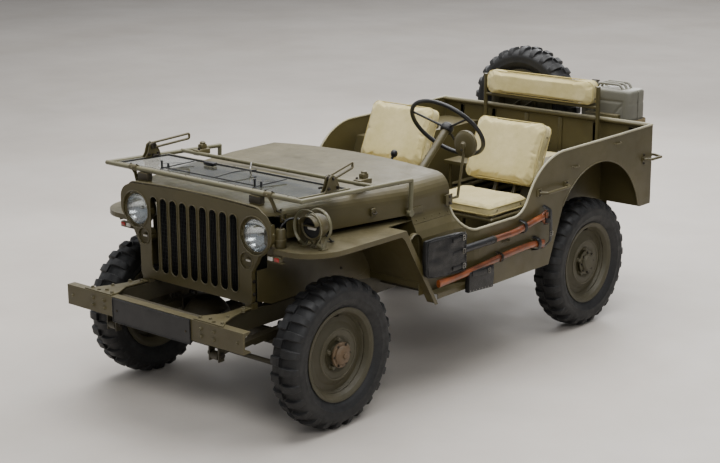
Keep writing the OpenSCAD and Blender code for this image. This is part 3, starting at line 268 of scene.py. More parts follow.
def make_finishes():
    # lighter khaki for upward faces: the colour of the lit olive tops, painted light as well as
    # dust
    khaki_dust_and_top_light = rgb(150, 140, 112)
    army_paint("olive", rgb(82, 74, 43), rgb(150, 143, 108), khaki_dust_and_top_light, 0.38, 0.6)
    army_paint("olive_low", rgb(58, 53, 35), rgb(110, 100, 78), rgb(120, 110, 90), 0.5, 0.4)
    army_paint("olive_wheel", rgb(70, 65, 44), rgb(120, 114, 92), rgb(120, 112, 95), 0.5, 0.5)
    army_paint("olive_can", rgb(118, 116, 104), rgb(70, 62, 48), rgb(160, 154, 136), 0.42, 0.8)
    army_paint("black_paint", rgb(26, 26, 27), rgb(80, 78, 74), rgb(70, 66, 60), 0.4, 0.35, 0.15)
    army_paint("hub_brown", rgb(104, 84, 60), rgb(150, 130, 100), rgb(120, 105, 85), 0.48, 0.6)
    army_paint("engine_grey", rgb(66, 68, 60), rgb(110, 108, 98), rgb(70, 62, 50), 0.55, 0.4)

    army_paint("olive_edge", rgb(176, 170, 142), rgb(206, 200, 176), khaki_dust_and_top_light, 0.4, 0.5, 0.3)
    # painted highlights: the pale base colour and the near-white edge colour at high wear stand for
    # the highlights along the windshield tubes and the lamp hoops, besides worn paint
    army_paint("shield_tube", rgb(104, 101, 76), rgb(186, 180, 156), khaki_dust_and_top_light, 0.3, 0.9, 0.6)

    f = Finish("rubber", rgb(30, 30, 32), 0.62)
    tone = f.mix(f.between(f.noise(9, 6, 0.7), 0.35, 0.7), rgb(17, 17, 18), rgb(30, 30, 30))
    tone = f.mix(f.between(f.noise(70, 4, 0.7), 0.55, 0.85, 0, 0.25), tone, rgb(70, 65, 58))
    edge, rounded = f.edges(0.003)
    tone = f.mix(f.math("MULTIPLY", edge, 0.3), tone, rgb(70, 69, 66))
    f.use(tone, f.between(f.noise(30, 4, 0.6), 0.3, 0.7, 0.48, 0.72),
          f.bump(f.noise(260, 4, 0.7), 0.25, 0.0012, rounded))

    f = Finish("canvas", rgb(208, 194, 138), 0.92, **{"Sheen Weight": 0.25, "Sheen Roughness": 0.6})
    weave = f.math("ADD", f.wave(190, "X", 1.2), f.wave(150, "DIAGONAL", 1.2))
    tone = f.mix(f.between(f.noise(6, 5, 0.6), 0.35, 0.7), rgb(196, 180, 118), rgb(218, 203, 148))
    tone = f.mix(f.between(f.noise(38, 5, 0.75), 0.55, 0.8, 0, 0.35), tone, rgb(156, 140, 94))
    tone = f.mix(f.between(weave, 0.0, 2.0, 0.16, 0.0), tone, rgb(140, 128, 86))
    f.use(tone, None, f.bump(weave, 0.35, 0.0006, f.bump(f.noise(28, 4, 0.6), 0.4, 0.004)))

    f = Finish("piping", rgb(186, 174, 124), 0.9)
    f.use(f.mix(f.noise(60, 3), rgb(170, 154, 96), rgb(200, 186, 130)), None,
          f.bump(f.noise(900, 2), 0.4, 0.0006))

    f = Finish("wood", rgb(150, 78, 36), 0.34, **{"Coat Weight": 0.35, "Coat Roughness": 0.2})
    grain = f.noise(34, 6, 0.65, stretch=(1.0, 0.07, 1.0), twist=0.6)
    tone = f.mix(f.between(grain, 0.36, 0.66), rgb(84, 40, 17), rgb(168, 88, 40))
    tone = f.mix(f.between(f.noise(9, 5, 0.7), 0.42, 0.66, 0, 0.7), tone, rgb(52, 30, 16))
    f.use(tone, f.between(grain, 0.3, 0.7, 0.28, 0.44), f.bump(grain, 0.15, 0.0008))

    f = Finish("rest_wood", rgb(52, 46, 34), 0.6)
    grain = f.noise(30, 5, 0.65, stretch=(0.1, 1.0, 1.0))
    f.use(f.mix(f.between(grain, 0.36, 0.66), rgb(40, 36, 26), rgb(66, 58, 42)), None,
          f.bump(grain, 0.3, 0.001))

    f = Finish("leather", rgb(14, 14, 15), 0.4)
    cells = f.node("ShaderNodeTexVoronoi", feature="DISTANCE_TO_EDGE")
    f.join(cells.inputs["Vector"], f.where)
    cells.inputs["Scale"].default_value = 330
    creases = f.between(cells.outputs["Distance"], 0.0, 0.09)
    tone = f.mix(f.between(f.noise(14, 5, 0.7), 0.45, 0.75), rgb(11, 11, 12), rgb(30, 28, 27))
    f.use(tone, f.between(f.noise(22, 4), 0.3, 0.7, 0.36, 0.58),
          f.bump(creases, 0.3, 0.0006, f.bump(f.noise(12, 4), 0.5, 0.004)))

    f = Finish("strap_web", rgb(120, 104, 74), 0.85)
    f.use(f.mix(f.noise(40, 4), rgb(98, 84, 58), rgb(136, 120, 88)), None,
          f.bump(f.noise(700, 2), 0.5, 0.0008))

    f = Finish("steel", rgb(150, 148, 142), 0.34, 1.0)
    f.use(f.mix(f.between(f.noise(30, 5, 0.7), 0.4, 0.7), rgb(120, 116, 108), rgb(176, 174, 168)),
          f.between(f.noise(60, 4), 0.3, 0.7, 0.26, 0.5), f.bump(f.noise(300, 3), 0.1, 0.0005))
    f = Finish("dark_steel", rgb(70, 66, 60), 0.5, 0.85)
    f.use(f.mix(f.between(f.noise(26, 5, 0.7), 0.4, 0.7), rgb(48, 44, 39), rgb(92, 86, 76)),
          f.between(f.noise(60, 4), 0.3, 0.7, 0.42, 0.66), f.bump(f.noise(180, 4), 0.2, 0.0006))
    f = Finish("rusty", rgb(84, 58, 40), 0.8, 0.3)
    f.use(f.mix(f.between(f.noise(18, 6, 0.75), 0.35, 0.7), rgb(58, 48, 40), rgb(122, 80, 50)),
          f.between(f.noise(50, 4), 0.3, 0.7, 0.66, 0.9), f.bump(f.noise(120, 5), 0.4, 0.001))
    f = Finish("mirror_glass", rgb(200, 204, 206), 0.06, 1.0)
    f.use(None, f.between(f.noise(12, 4), 0.3, 0.8, 0.03, 0.12))
    f = Finish("chrome", rgb(225, 226, 228), 0.1, 1.0)
    f.use(None, f.between(f.noise(25, 4), 0.3, 0.8, 0.06, 0.16))
    f = Finish("clear_glass", rgb(236, 240, 240), 0.03, **{"Transmission Weight": 1.0, "IOR": 1.45})
    f.use(f.mix(f.between(f.noise(4, 5, 0.7), 0.4, 0.75), rgb(240, 244, 243), rgb(222, 226, 222)),
          f.between(f.noise(9, 5, 0.7), 0.45, 0.8, 0.015, 0.11))
    f = Finish("lens_glass", rgb(236, 240, 240), 0.05, **{"Transmission Weight": 1.0, "IOR": 1.4})
    f.use(None, f.between(f.noise(40, 3), 0.3, 0.7, 0.03, 0.08), f.bump(f.wave(26), 0.5, 0.002))
    f = Finish("red_glass", rgb(150, 22, 16), 0.15, **{"Coat Weight": 0.6})
    f.use(f.mix(f.noise(90, 2), rgb(128, 14, 10), rgb(170, 34, 24)), None,
          f.bump(f.noise(260, 1), 0.3, 0.001))
    f = Finish("white_paint", rgb(214, 212, 204), 0.5)
    f.use(f.mix(f.noise(20, 4), rgb(190, 186, 176), rgb(222, 220, 214)), None,
          f.bump(f.noise(200, 3), 0.1, 0.0005))
    f = Finish("floor", rgb(206, 199, 190), 0.62)
    tone = f.mix(f.between(f.noise(0.7, 6, 0.6), 0.3, 0.7), rgb(198, 190, 180), rgb(214, 207, 198))
    f.use(tone, f.between(f.noise(3, 4), 0.3, 0.7, 0.5, 0.7), f.bump(f.noise(60, 4), 0.06, 0.002))


NODE_FINISH = {
    "olive": ["front_bumper", "body_tub", "cowl", "hood", "grille", "fender_left", "fender_right",
              "steering_column", "driver_seat_frame", "passenger_seat_frame",
              "rear_seat_frame", "side_mirror", "grab_handles", "rear_bumperettes"],
    "shield_tube": ["windshield_frame"],
    "olive_low": ["frame", "front_axle", "rear_axle", "leaf_springs", "knuckle_left",
                  "knuckle_right", "tie_rod", "gearbox", "pintle_hook"],
    "olive_wheel": ["wheel_front_left", "wheel_front_right", "wheel_rear_left",
                    "wheel_rear_right", "spare_wheel"],
    "black_paint": ["front_plate", "radiator", "steering_wheel", "control_levers"],
    "engine_grey": ["engine"],
    "rusty": ["exhaust"],
    "clear_glass": ["windshield_glass"],
}


def dress_frame():
    for name, nodes in NODE_FINISH.items():
        for node in nodes:
            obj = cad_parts[node]
            obj.data.materials.clear()
            obj.data.materials.append(FINISHES[name])


# ---------- mesh tools ----------

def smooth_line(points, steps=6):
    """A Catmull-Rom curve through the points."""
    p = [Vector(q) for q in points]
    p = [2 * p[0] - p[1]] + p + [2 * p[-1] - p[-2]]
    line = []
    for a, b, c, d in zip(p, p[1:], p[2:], p[3:]):
        for i in range(steps):
            t = i / steps
            line.append(0.5 * (2 * b + (c - a) * t + (2 * a - 5 * b + 4 * c - d) * t * t
                               + (3 * b - a - 3 * c + d) * t ** 3))
    return line + [p[-2]]


def bent_line(points, radius, steps=5):
    """Straight stretches with round bends of that radius."""
    p = [Vector(q) for q in points]
    line = [p[0]]
    for a, b, c in zip(p, p[1:], p[2:]):
        before, after = (a - b).normalized(), (c - b).normalized()
        reach = min(radius, (a - b).length * 0.49, (c - b).length * 0.49)
        for i in range(steps + 1):
            t = i / steps
            line.append((b + before * reach).lerp(b, t).lerp(b.lerp(b + after * reach, t), t))
    return line + [p[-1]]


def round_rect(w, h, r, steps=5):
    """Outline of a rectangle with round corners, centred."""
    line = []
    for k, (sx, sy) in enumerate(((1, 1), (-1, 1), (-1, -1), (1, -1))):
        for i in range(steps + 1):
            a = math.radians(90 * k + 90 * i / steps)
            line.append((sx * (w / 2 - r) + r * math.cos(a), sy * (h / 2 - r) + r * math.sin(a)))
    return line


def ring_points(r, n, start=0.0, tall=None):
    """n points round a circle, or round an oval if its other half height is given."""
    tall = r if tall is None else tall
    turns = [start + 2 * math.pi * i / n for i in range(n)]
    return [(r * math.cos(a), tall * math.sin(a)) for a in turns]


def angles(first, stop, step):
    return [math.radians(v) for v in range(first, stop, step)]


PLANES = {"xy": lambda a, b, h: (a, b, h), "xz": lambda a, b, h: (a, h, b),
          "yz": lambda a, b, h: (h, a, b)}
AXES = {"x": Vector((1, 0, 0)), "y": Vector((0, 1, 0)), "z": Vector((0, 0, 1)),
        "-x": Vector((-1, 0, 0)), "-y": Vector((0, -1, 0))}


def round_off(bm, edges, r, segments, clamp=True):
    bmesh.ops.bevel(bm, geom=edges, offset=r, segments=segments, profile=0.5, affect="EDGES",
                    clamp_overlap=clamp)


class Shape:
    """Solids that end up in one mesh, each with its own finish."""

    def __init__(self, finish):
        self.finish = finish
        self.points, self.faces, self.finishes = [], [], []

    def add(self, points, faces, finish=None, turn=None):
        first = len(self.points)
        self.points += [turn @ Vector(p) if turn else Vector(p) for p in points]
        self.faces += [[first + i for i in face] for face in faces]
        self.finishes += [finish or self.finish] * len(faces)

    def take(self, bm, finish, turn):
        bm.verts.index_update()
        self.add([v.co.copy() for v in bm.verts],
                 [[v.index for v in face.verts] for face in bm.faces], finish, turn)
        bm.free()

    def block(self, low, high, r=2.0, finish=None, turn=None):
        """A box with rounded edges."""
        low, high = Vector(map(min, low, high)), Vector(map(max, low, high))
        bm = bmesh.new()
        bmesh.ops.create_cube(bm, size=1)
        for v in bm.verts:
            v.co = Vector(low[i] + (v.co[i] + 0.5) * (high[i] - low[i]) for i in range(3))
        r = min(r, 0.45 * min(high - low))
        round_off(bm, bm.edges[:], r, 2)
        self.take(bm, finish, turn)

    def prism(self, outline, plane, low, high, r=0.0, finish=None, turn=None):
        """An outline pushed out from low to high, its rims rounded by r."""
        put = PLANES[plane]
        bm = bmesh.new()
        bottom = [bm.verts.new(put(a, b, low)) for a, b in outline]
        top = [bm.verts.new(put(a, b, high)) for a, b in outline]
        bm.faces.new(bottom)
        bm.faces.new(top[::-1])
        rims = []
        for i in range(len(outline)):
            j = (i + 1) % len(outline)
            bm.faces.new((bottom[j], bottom[i], top[i], top[j]))
            rims += [bm.edges.get((bottom[i], bottom[j])), bm.edges.get((top[i], top[j]))]
        if r:
            round_off(bm, rims, r, 2)
        self.take(bm, finish, turn)

    def sweep(self, line, section, finish=None, closed=False, up=None):
        """Carries a section, points across the line, along a line."""
        line = [Vector(p) for p in line]
        n, m = len(line), len(section)
        points, side = [], Vector(up) if up else None
        for i, p in enumerate(line):
            ahead = (line[(i + 1) % n if closed else min(i + 1, n - 1)]
                     - line[i - 1 if closed or i else 0]).normalized()
            side = (side - ahead * side.dot(ahead) if side else ahead.orthogonal()).normalized()
            across = ahead.cross(side)
            points += [p + side * a + across * b for a, b in section]
        faces = [[i * m + k, i * m + (k + 1) % m,
                  (i + 1) % n * m + (k + 1) % m, (i + 1) % n * m + k]
                 for i in range(n if closed else n - 1) for k in range(m)]
        if not closed:
            faces += [list(range(m))[::-1], [(n - 1) * m + k for k in range(m)]]
        self.add(points, faces, finish)

    def tube(self, line, r, finish=None, sides=12, closed=False):
        self.sweep(line, ring_points(r, sides), finish, closed)

    def strap(self, line, across, width, t, finish=None, closed=False):
        """A flat band; across is the direction of its width."""
        w, h = width / 2, t / 2
        self.sweep(line, [(w, -h * 0.4), (w, h * 0.4), (w - h, h), (h - w, h), (-w, h * 0.4),
                          (-w, -h * 0.4), (h - w, -h), (w - h, -h)], finish, closed, across)

    def lathe(self, centre, axis, profile, sides=40, finish=None, closed=False):
        """Turns a (radius, along) line about an axis through centre."""
        way = AXES[axis] if isinstance(axis, str) else axis
        basis = way.to_track_quat("Z", "Y").to_matrix()
        centre = Vector(centre)
        points, rows = [], []
        for r, along in profile:
            ring = ring_points(r, sides) if r > 1e-6 else [(r, 0.0)]
            rows.append(list(range(len(points), len(points) + len(ring))))
            points += [centre + basis @ Vector((a, b, along)) for a, b in ring]
        faces = []
        pairs = list(zip(rows, rows[1:])) + ([(rows[-1], rows[0])] if closed else [])
        for low, high in pairs:
            for k in range(sides):
                j = (k + 1) % sides
                face = dict.fromkeys([low[k % len(low)], low[j % len(low)],
                                      high[j % len(high)], high[k % len(high)]])
                if len(face) > 2:
                    faces.append(list(face))
        self.add(points, faces, finish)

    def bolt(self, at, axis, size, height, finish=None):
        """A hexagon head on a washer; at is the surface it sits on."""
        r = size / 2
        self.lathe(at, axis, [(0, -1), (r * 1.35, -1), (r * 1.35, 1.2), (r * 1.2, 1.6), (0, 1.6)],
                   16, finish)
        self.lathe(at, axis, [(0, 1), (r, 1), (r, height * 0.8), (r * 0.84, height), (0, height)],
                   6, finish)

    def rivet(self, at, axis, r, finish=None):
        dome = [(r * math.cos(a), r * 0.55 * math.sin(a)) for a in (0, 0.5, 1.0, 1.3)]
        self.lathe(at, axis, [(r, -1)] + dome + [(0, r * 0.55)], 12, finish)

    def mirrored(self):
        """Adds the same again on the other side of the car."""
        first, faces = len(self.points), list(self.faces)
        self.points += [Vector((-p.x, p.y, p.z)) for p in self.points]
        self.faces += [[first + i for i in reversed(face)] for face in faces]
        self.finishes += list(self.finishes)
        return self

    def mesh(self, name, sharp=35, local=False):
        data = bpy.data.meshes.new(name)
        spots = [p * MM for p in self.points] if local else [place(*p) for p in self.points]
        data.from_pydata(spots, [], self.faces)
        used = list(dict.fromkeys(self.finishes))
        for finish in used:
            data.materials.append(FINISHES[finish])
        data.polygons.foreach_set("material_index", [used.index(f) for f in self.finishes])
        bm = bmesh.new()
        bm.from_mesh(data)
        bmesh.ops.recalc_face_normals(bm, faces=bm.faces)
        bm.to_mesh(data)
        bm.free()
        data.polygons.foreach_set("use_smooth", [True] * len(data.polygons))
        data.set_sharp_from_angle(angle=math.radians(sharp))
        return data

    def make(self, name, body="chassis", slot="army_paint", stands_for=(), sharp=40):
        show(name, self.mesh(name, sharp), body, stands_for)


def show(name, data, body, stands_for=(), where=None):
    obj = link(name, data)
    if where:
        obj.matrix_world = where
    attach(obj, body)
    if stands_for:
        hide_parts(*stands_for)


# ---------- floor ----------

def add_floor():
    data = bpy.data.meshes.new("floor")
    bm = bmesh.new()
    bmesh.ops.create_grid(bm, x_segments=8, y_segments=8, size=60)
    bm.to_mesh(data)
    bm.free()
    data.materials.append(FINISHES["floor"])
    link("floor", data)


# ---------- tyres ----------

LUGS = 26  # in each of the two rows
BAR_POINTS = 6  # points round a bar's section


def tyre_shape():
    """Carcass with rows of cross bars, the two rows half a pitch apart. x is the axle."""
    r, w = TYRE_R, TYRE_W / 2
    s = Shape("rubber")
    half = [(203.6, 0), (203.6, 52), (208, 56), (226, 57), (232, 62), (240, 70), (252, 76),
            (262, 79.5), (264, 81.2), (270, 81.6), (276, 80.8), (284, 81.6), (296, w),
            (304, 81.6), (312, 78), (320, 71), (328, 60), (334, 46), (336, 24), (336.5, 0)]
    profile = half + [(a, -b) for a, b in reversed(half[1:-1])]
    s.lathe((0, 0, 0), "x", profile, 112, closed=True)
    pitch = 2 * math.pi / LUGS
    stations = [(3, r - 0.5), (22, r), (36, r - 0.6), (50, r - 4), (62, r - 10), (71, r - 19),
                (77, r - 30), (80, r - 41)]
    base = [(3, 332), (22, 332), (36, 332), (50, 328), (62, 320), (71, 312), (75, 306), (78, 300)]
    for side in (1, -1):
        for k in range(LUGS):
            middle = pitch * (k + (0.5 if side < 0 else 0))
            points, faces = [], []
            for i, ((x, top), (xb, low)) in enumerate(zip(stations, base)):
                half_arc = (0.235 - 0.006 * i) * pitch
                for radius, xx, widen in ((low, xb, 1.16), (top - 2.5, x, 1.0), (top, x, 0.9),
                                          (top, x, -0.9), (top - 2.5, x, -1.0), (low, xb, -1.16)):
                    a = middle + half_arc * widen
                    points.append((side * xx, radius * math.cos(a), radius * math.sin(a)))
            m = BAR_POINTS
            for i in range(len(stations) - 1):
                for j in range(m - 1):
                    faces.append([i * m + j, i * m + j + 1, (i + 1) * m + j + 1, (i + 1) * m + j])
                faces.append([i * m + m - 1, i * m, (i + 1) * m, (i + 1) * m + m - 1])
            end = (len(stations) - 1) * m
            faces += [list(range(m)), [end + j for j in range(m)]]
            s.add(points, faces)
    return s


def wheel_place(tyre):
    """Where a wheel is: its outboard side, local x, faces left, right, or back on the spare."""
    angle = math.pi / 2 if tyre == "spare_tyre" else math.pi if tyre.endswith("right") else 0
    return Matrix.Translation(centre_of(tyre)) @ Matrix.Rotation(angle, 4, "Z")


def add_tyres():
    data = tyre_shape().mesh("tyre", 30, local=True)
    for wheel in NODE_FINISH["olive_wheel"]:
        node = wheel.replace("wheel", "tyre")
        body = "chassis" if wheel == "spare_wheel" else wheel
        show(node + "_tread", data, body, [node], wheel_place(node))


# ---------- cushions ----------

CLOTH_FRAMES = 20
VOXEL = 0.006


def swell(obj, cap):
    """Blows the piece up as cloth, then holds every point within cap of where it was."""
    rest = [v.co.copy() for v in obj.data.vertices]
    cloth = obj.modifiers.new("cloth", "CLOTH")
    cloth.settings.use_pressure = True
    cloth.settings.uniform_pressure_force = 4
    cloth.settings.effector_weights.gravity = 0
    cloth.settings.tension_stiffness = 12
    cloth.settings.compression_stiffness = 12
    cloth.settings.bending_stiffness = 1.2
    scene = bpy.context.scene
    for step in range(1, CLOTH_FRAMES + 1):
        scene.frame_set(step)
    graph = bpy.context.evaluated_depsgraph_get()
    blown = [v.co.copy() for v in obj.evaluated_get(graph).data.vertices]
    obj.modifiers.remove(cloth)
    scene.frame_set(1)
    for v, start, end in zip(obj.data.vertices, rest, blown):
        move = end - start
        v.co = start + (move * (cap / move.length) if move.length > cap else move)


def modify(obj, kind, **settings):
    """Adds one modifier and applies it."""
    modifier = obj.modifiers.new("modifier", kind)
    for name, value in settings.items():
        setattr(modifier, name, value)
    graph = bpy.context.evaluated_depsgraph_get()
    data = bpy.data.meshes.new_from_object(obj.evaluated_get(graph))
    obj.modifiers.clear()
    obj.data = data


def remeshed(name, data, size=VOXEL):
    """A new object with the mesh rebuilt from cubes of that size (m)."""
    obj = link(name, data)
    modify(obj, "REMESH", mode="VOXEL", voxel_size=size)
    return obj


def subdivide(obj):
    modify(obj, "SUBSURF", levels=1, render_levels=1)


def dress(obj, finish, body, node):
    """One finish and smooth faces all over, and the CAD node that the piece stands for."""
    obj.data.materials.clear()
    obj.data.materials.append(FINISHES[finish])
    obj.data.polygons.foreach_set("use_smooth", [True] * len(obj.data.polygons))
    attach(obj, body)
    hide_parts(node)


def cushion(name, outline, thick, at, turn, body, node, cap=12, gather=1.2):
    """A boxed canvas cushion. outline is its face in local x and y, thick its depth in local z.

    at (mm) and turn place its lower face in the car. It starts slim by a few mm a side, because
    the cloth swells by up to cap; gather is the height of its creases.
    """
    slim = 9
    s = Shape("canvas")
    centre = Vector((sum(p[0] for p in outline), sum(p[1] for p in outline))) / len(outline)
    inner = []
    for a, b in outline:
        away = Vector((a, b)) - centre
        inner.append(tuple(centre + away * (1 - slim / away.length)))
    s.prism(inner, "xy", slim * 0.8, thick - slim * 0.8, 13)
    obj = remeshed(name, s.mesh(name, local=True))
    swell(obj, cap * MM)
    # gathers: short creases that run in from the seams
    low, high = slim * 0.8 * MM, (thick - slim * 0.8) * MM
    for v in obj.data.vertices:
        flat = Vector((v.co.x, v.co.y)) - centre * MM
        angle = math.atan2(flat.y, flat.x)
        rim = 1 - min(1, abs(min(v.co.z - low, high - v.co.z)) / (26 * MM))
        edge = min(1, max(0, (flat.length - 0.1) / 0.08))
        crease = noise.noise(Vector((v.co.x * 38, v.co.y * 38, math.cos(angle) * 2)))
        fine = noise.noise(Vector((v.co.x * 95, v.co.y * 95, v.co.z * 20)))
        push = (crease * 0.9 + fine * 0.5) * gather * MM * (0.35 + 0.65 * max(rim, 0) * edge)
        v.co += v.normal * push
    subdivide(obj)
    where = Matrix.Translation(place(*at)) @ turn.to_4x4()
    obj.matrix_world = where
    dress(obj, "canvas", body, node)
    # piping sewn round both faces, laid on the swollen cloth
    tree = BVHTree.FromPolygons([v.co for v in obj.data.vertices],
                                [p.vertices[:] for p in obj.data.polygons])
    seams = Shape("piping")
    for level in (0.14, 0.86):
        line = []
        for a, b in outline:
            spot, normal, _, _ = tree.find_nearest(Vector((a * MM, b * MM, thick * level * MM)))
            line.append((spot + normal * 0.8 * MM) / MM)
        seams.tube(line, 3.2, "piping", 8, closed=True)
    # eyelets in the boxing at the ends
    reach = max(abs(p[0]) for p in outline) + 20
    span = max(p[1] for p in outline) - min(p[1] for p in outline)
    eyelet = [(2.2, -2), (2.4, 0.6), (4.6, 1.2), (5.4, 0.2), (5.4, -2)]
    for sx in (-1, 1):
        for share in (-0.28, 0.28):
            spot, normal, _, _ = tree.find_nearest(
                Vector((sx * reach * MM, centre.y * MM + share * span * MM, thick * 0.5 * MM)))
            seams.lathe(spot / MM, normal, eyelet, 14, "dark_steel")
    name += "_seams"
    show(name, seams.mesh(name, local=True), body, where=where)


SEAT_X = 378
SEAT_TOP = 800
BACK_FOOT_Y, BACK_FOOT_Z = 1583, 850
BACK_LEAN = math.radians(23.6)
# name, side of the car and body of each front seat
FRONT_SEATS = (("driver", 1, "chassis"), ("passenger", -1, "passenger_seat"))


def add_cushions():
    flat = Matrix.Identity(3)
    upright = Matrix.Rotation(-BACK_LEAN, 3, "X") @ Matrix.Rotation(math.pi / 2, 3, "X")
    for name, side, body in FRONT_SEATS:
        node = name + "_cushions"
        x = side * SEAT_X
        cushion(name + "_seat_cushion", round_rect(450, 356, 30), 66, (x, 1414, SEAT_TOP - 66),
                flat, body, node)
        # the back: its face looks forward, so local z runs forward from its rear face
        rear = (x, BACK_FOOT_Y + 82 * math.cos(BACK_LEAN), BACK_FOOT_Z - 82 * math.sin(BACK_LEAN))
        outline = [(a, b + 172) for a, b in round_rect(470, 362, 40)]
        cushion(name + "_back_cushion", outline, 92, rear, upright, body, node, cap=16, gather=1.1)
    cushion("rear_seat_cushion", round_rect(690, 250, 34), 60, (0, REAR_Y + 310, 775.5), flat,
            "chassis", "rear_cushions")
    straight = Matrix.Rotation(math.pi / 2, 3, "X")
    cushion("rear_back_cushion", [(a, b + 71) for a, b in round_rect(769, 142, 40)], 82,
            (0, BACK_Y + 10, 1122), straight, "chassis", "rear_cushions")


# ---------- wheels ----------

def add_wheel_trim():
    """Nuts, hub flange and valve of each wheel; x points outboard."""
    for node in NODE_FINISH["olive_wheel"]:
        s = Shape("olive_wheel")
        for a, b in ring_points(69.85, 5, 0.3):
            spot = (28, a, b)
            s.lathe(spot, "x", [(0, -2), (17, -2), (16, 2), (13, 4), (0, 4)], 20)
            s.lathe(spot, "x", [(0, 2), (12.5, 2), (12.5, 15), (9, 20), (0, 20)], 6)
        for a, b in ring_points(166, 8, math.pi / 8):
            s.rivet((14.5, a, b), "x", 7)
        s.tube(smooth_line([(12, 0, 178), (30, 0, 182), (46, 0, 190)]), 4.5, "dark_steel", 10)
        # lip of the stamped disc
        s.lathe((0, 0, 0), "x", [(120, 36), (124, 40), (117, 41), (113, 38)], 72, closed=True)
        if "front" in node:
            s.lathe((0, 0, 0), "x", [(46, 50), (58, 50), (60, 52), (60, 60), (58, 62), (46, 62)],
                    40, "hub_brown", closed=True)
            s.lathe((0, 0, 0), "x", [(46.4, 62), (46.4, 68), (38.4, 76.4), (34, 79), (12, 80),
                                     (0, 80)], 40, "hub_brown")
            for a, b in ring_points(52.5, 6):
                s.bolt((62, a, b), "x", 9, 6, "dark_steel")
            s.lathe((79, 0, 0), "x", [(0, 0), (15, 0), (15, 9), (11, 12), (0, 12)], 6, "hub_brown")
        elif "rear" in node:
            s.lathe((0, 0, 0), "x", [(46, 40), (64, 40), (66, 42), (66, 49), (64, 51), (46, 51)],
                    40, "olive_wheel", closed=True)
            for a, b in ring_points(56, 8):
                s.bolt((51, a, b), "x", 10, 7, "dark_steel")
            s.lathe((0, 0, 0), "x", [(46.3, 51), (46.3, 56), (38, 66.3), (0, 66.8)], 40)
        name = node + "_trim"
        body = "chassis" if node == "spare_wheel" else node
        show(name, s.mesh(name, local=True), body,
             where=wheel_place(node.replace("wheel", "tyre")))


# ---------- front ----------

BUMPER_Y = -540
GUSSET_TOP = 578
SPRING_X = 349
GRILLE_Y = -262
# centres of the left front lamps
HEADLIGHT_X, HEADLIGHT_Z = 399, 920
MARKER_X, MARKER_Z = 348, 796


def add_front():
    s = Shape("olive")
    for x, y in ((300, -514), (352, -500), (440, -512), (392, -430), (384, -330), (348, -290)):
        s.bolt((x, y, GUSSET_TOP), "z", 16, 9)
    for z in (505, 540):
        for x in (330, 410):
            s.bolt((x, BUMPER_Y, z), "-y", 17, 8)
    s.bolt((560, BUMPER_Y, 523), "-y", 13, 6)
    # channel ends and stiffeners
    for x in (594, 470, 250):
        s.prism([(-534, 478), (-500, 478), (-500, 484), (-528, 496), (-528, 550), (-500, 562),
                 (-500, 568), (-534, 568)], "yz", x - 4, x, 0.8)
    # nuts at the spring eyes and shackles
    for y in (-468, 468, 1554, 2518):
        for x in (312, 386):
            s.bolt((x, y, 408), "x" if x > SPRING_X else "-x", 22, 12, "dark_steel")
    # clips that hold the springs on the axles
    for y in (-44, 44, REAR_Y - 44, REAR_Y + 44):
        loop = [(SPRING_X - 22, y, 330), (SPRING_X - 22, y, 455), (SPRING_X + 22, y, 455),
                (SPRING_X + 22, y, 330)]
        s.tube(bent_line(loop, 14), 6, "dark_steel", 8)
    s.mirrored().make("bumper_bolts_and_clips", slot="chassis_paint", sharp=35)

    s = Shape("black_paint")
    s.tube([(a, -546, 510 + b) for a, b in round_rect(524, 112, 8)], 2.2, sides=8, closed=True)
    for x in (-235, 235):
        s.rivet((x, -545, 510), "-y", 7, "dark_steel")
    s.make("front_plate_frame", slot="plate_black", sharp=35)


def add_grille_trim():
    y = GRILLE_Y
    s = Shape("olive")
    # rolled lips of the slots and of the lamp holes
    for i in range(9):
        x = (i - 4) * 67
        outline = [(x + a, y - 1.2, 817 + b) for a, b in round_rect(52, 368, 25.5, 6)]
        s.tube(outline, 2.6, sides=8, closed=True)
    for x in (-HEADLIGHT_X, HEADLIGHT_X):
        ring = [(x + a, y - 1, HEADLIGHT_Z + b) for a, b in ring_points(90, 48)]
        s.tube(ring, 3.2, sides=8, closed=True)
    for x in (-346, 346):
        ring = [(x + a, y - 1, MARKER_Z + b) for a, b in ring_points(40, 32)]
        s.tube(ring, 2.6, sides=8, closed=True)
    for side in (-1, 1):
        # flanges that close the gap round each lamp
        s.lathe((side * HEADLIGHT_X, -257, HEADLIGHT_Z), "y", [(85, 0), (98, 0), (98, 4), (85, 8)],
                56, closed=True)
        s.lathe((side * MARKER_X, -257, MARKER_Z), "y", [(35, 0), (44, 0), (44, 4), (35, 6)],
                40, closed=True)
        way = Vector((side, 0, 0))
        for z in (700, 640):
            s.bolt((side * 376, y + 14, z), way, 14, 8, "dark_steel")
        for z in (940, 890):
            s.bolt((side * 505, y + 14, z), way, 10, 5)
    # front edge of the hood, folded over the grille: a flat crown between two round corners
    half, r, corner_z = 405, 55, 998
    turns = (0.3, 0.6, 0.9, 1.2, 1.5)
    corner = [(half + r * math.sin(a), corner_z + r * math.cos(a)) for a in turns]
    edge = [(-a, b) for a, b in reversed(corner)]
    edge += [(x, 1063.5 - 10 * (abs(x) / half) ** 2) for x in range(-half, half + 1, 45)]
    s.tube([(a, -259, b) for a, b in edge + corner], 3.4, sides=8)
    s.make("grille_lips")

    s = Shape("black_paint")
    # radiator tubes seen through the slots
    for i in range(46):
        x = -248 + i * 11
        s.block((x - 1.6, -238, 604), (x + 1.6, -231, 1000), 0.5)
    for z in range(620, 1000, 19):
        s.block((-256, -236, z - 0.8), (256, -232.5, z + 0.8), 0.3)
    s.block((-262, -240, 590), (262, -228, 604), 2)
    s.block((-262, -240, 998), (262, -228, 1012), 2)
    s.make("radiator_core", slot="radiator_black", sharp=35)


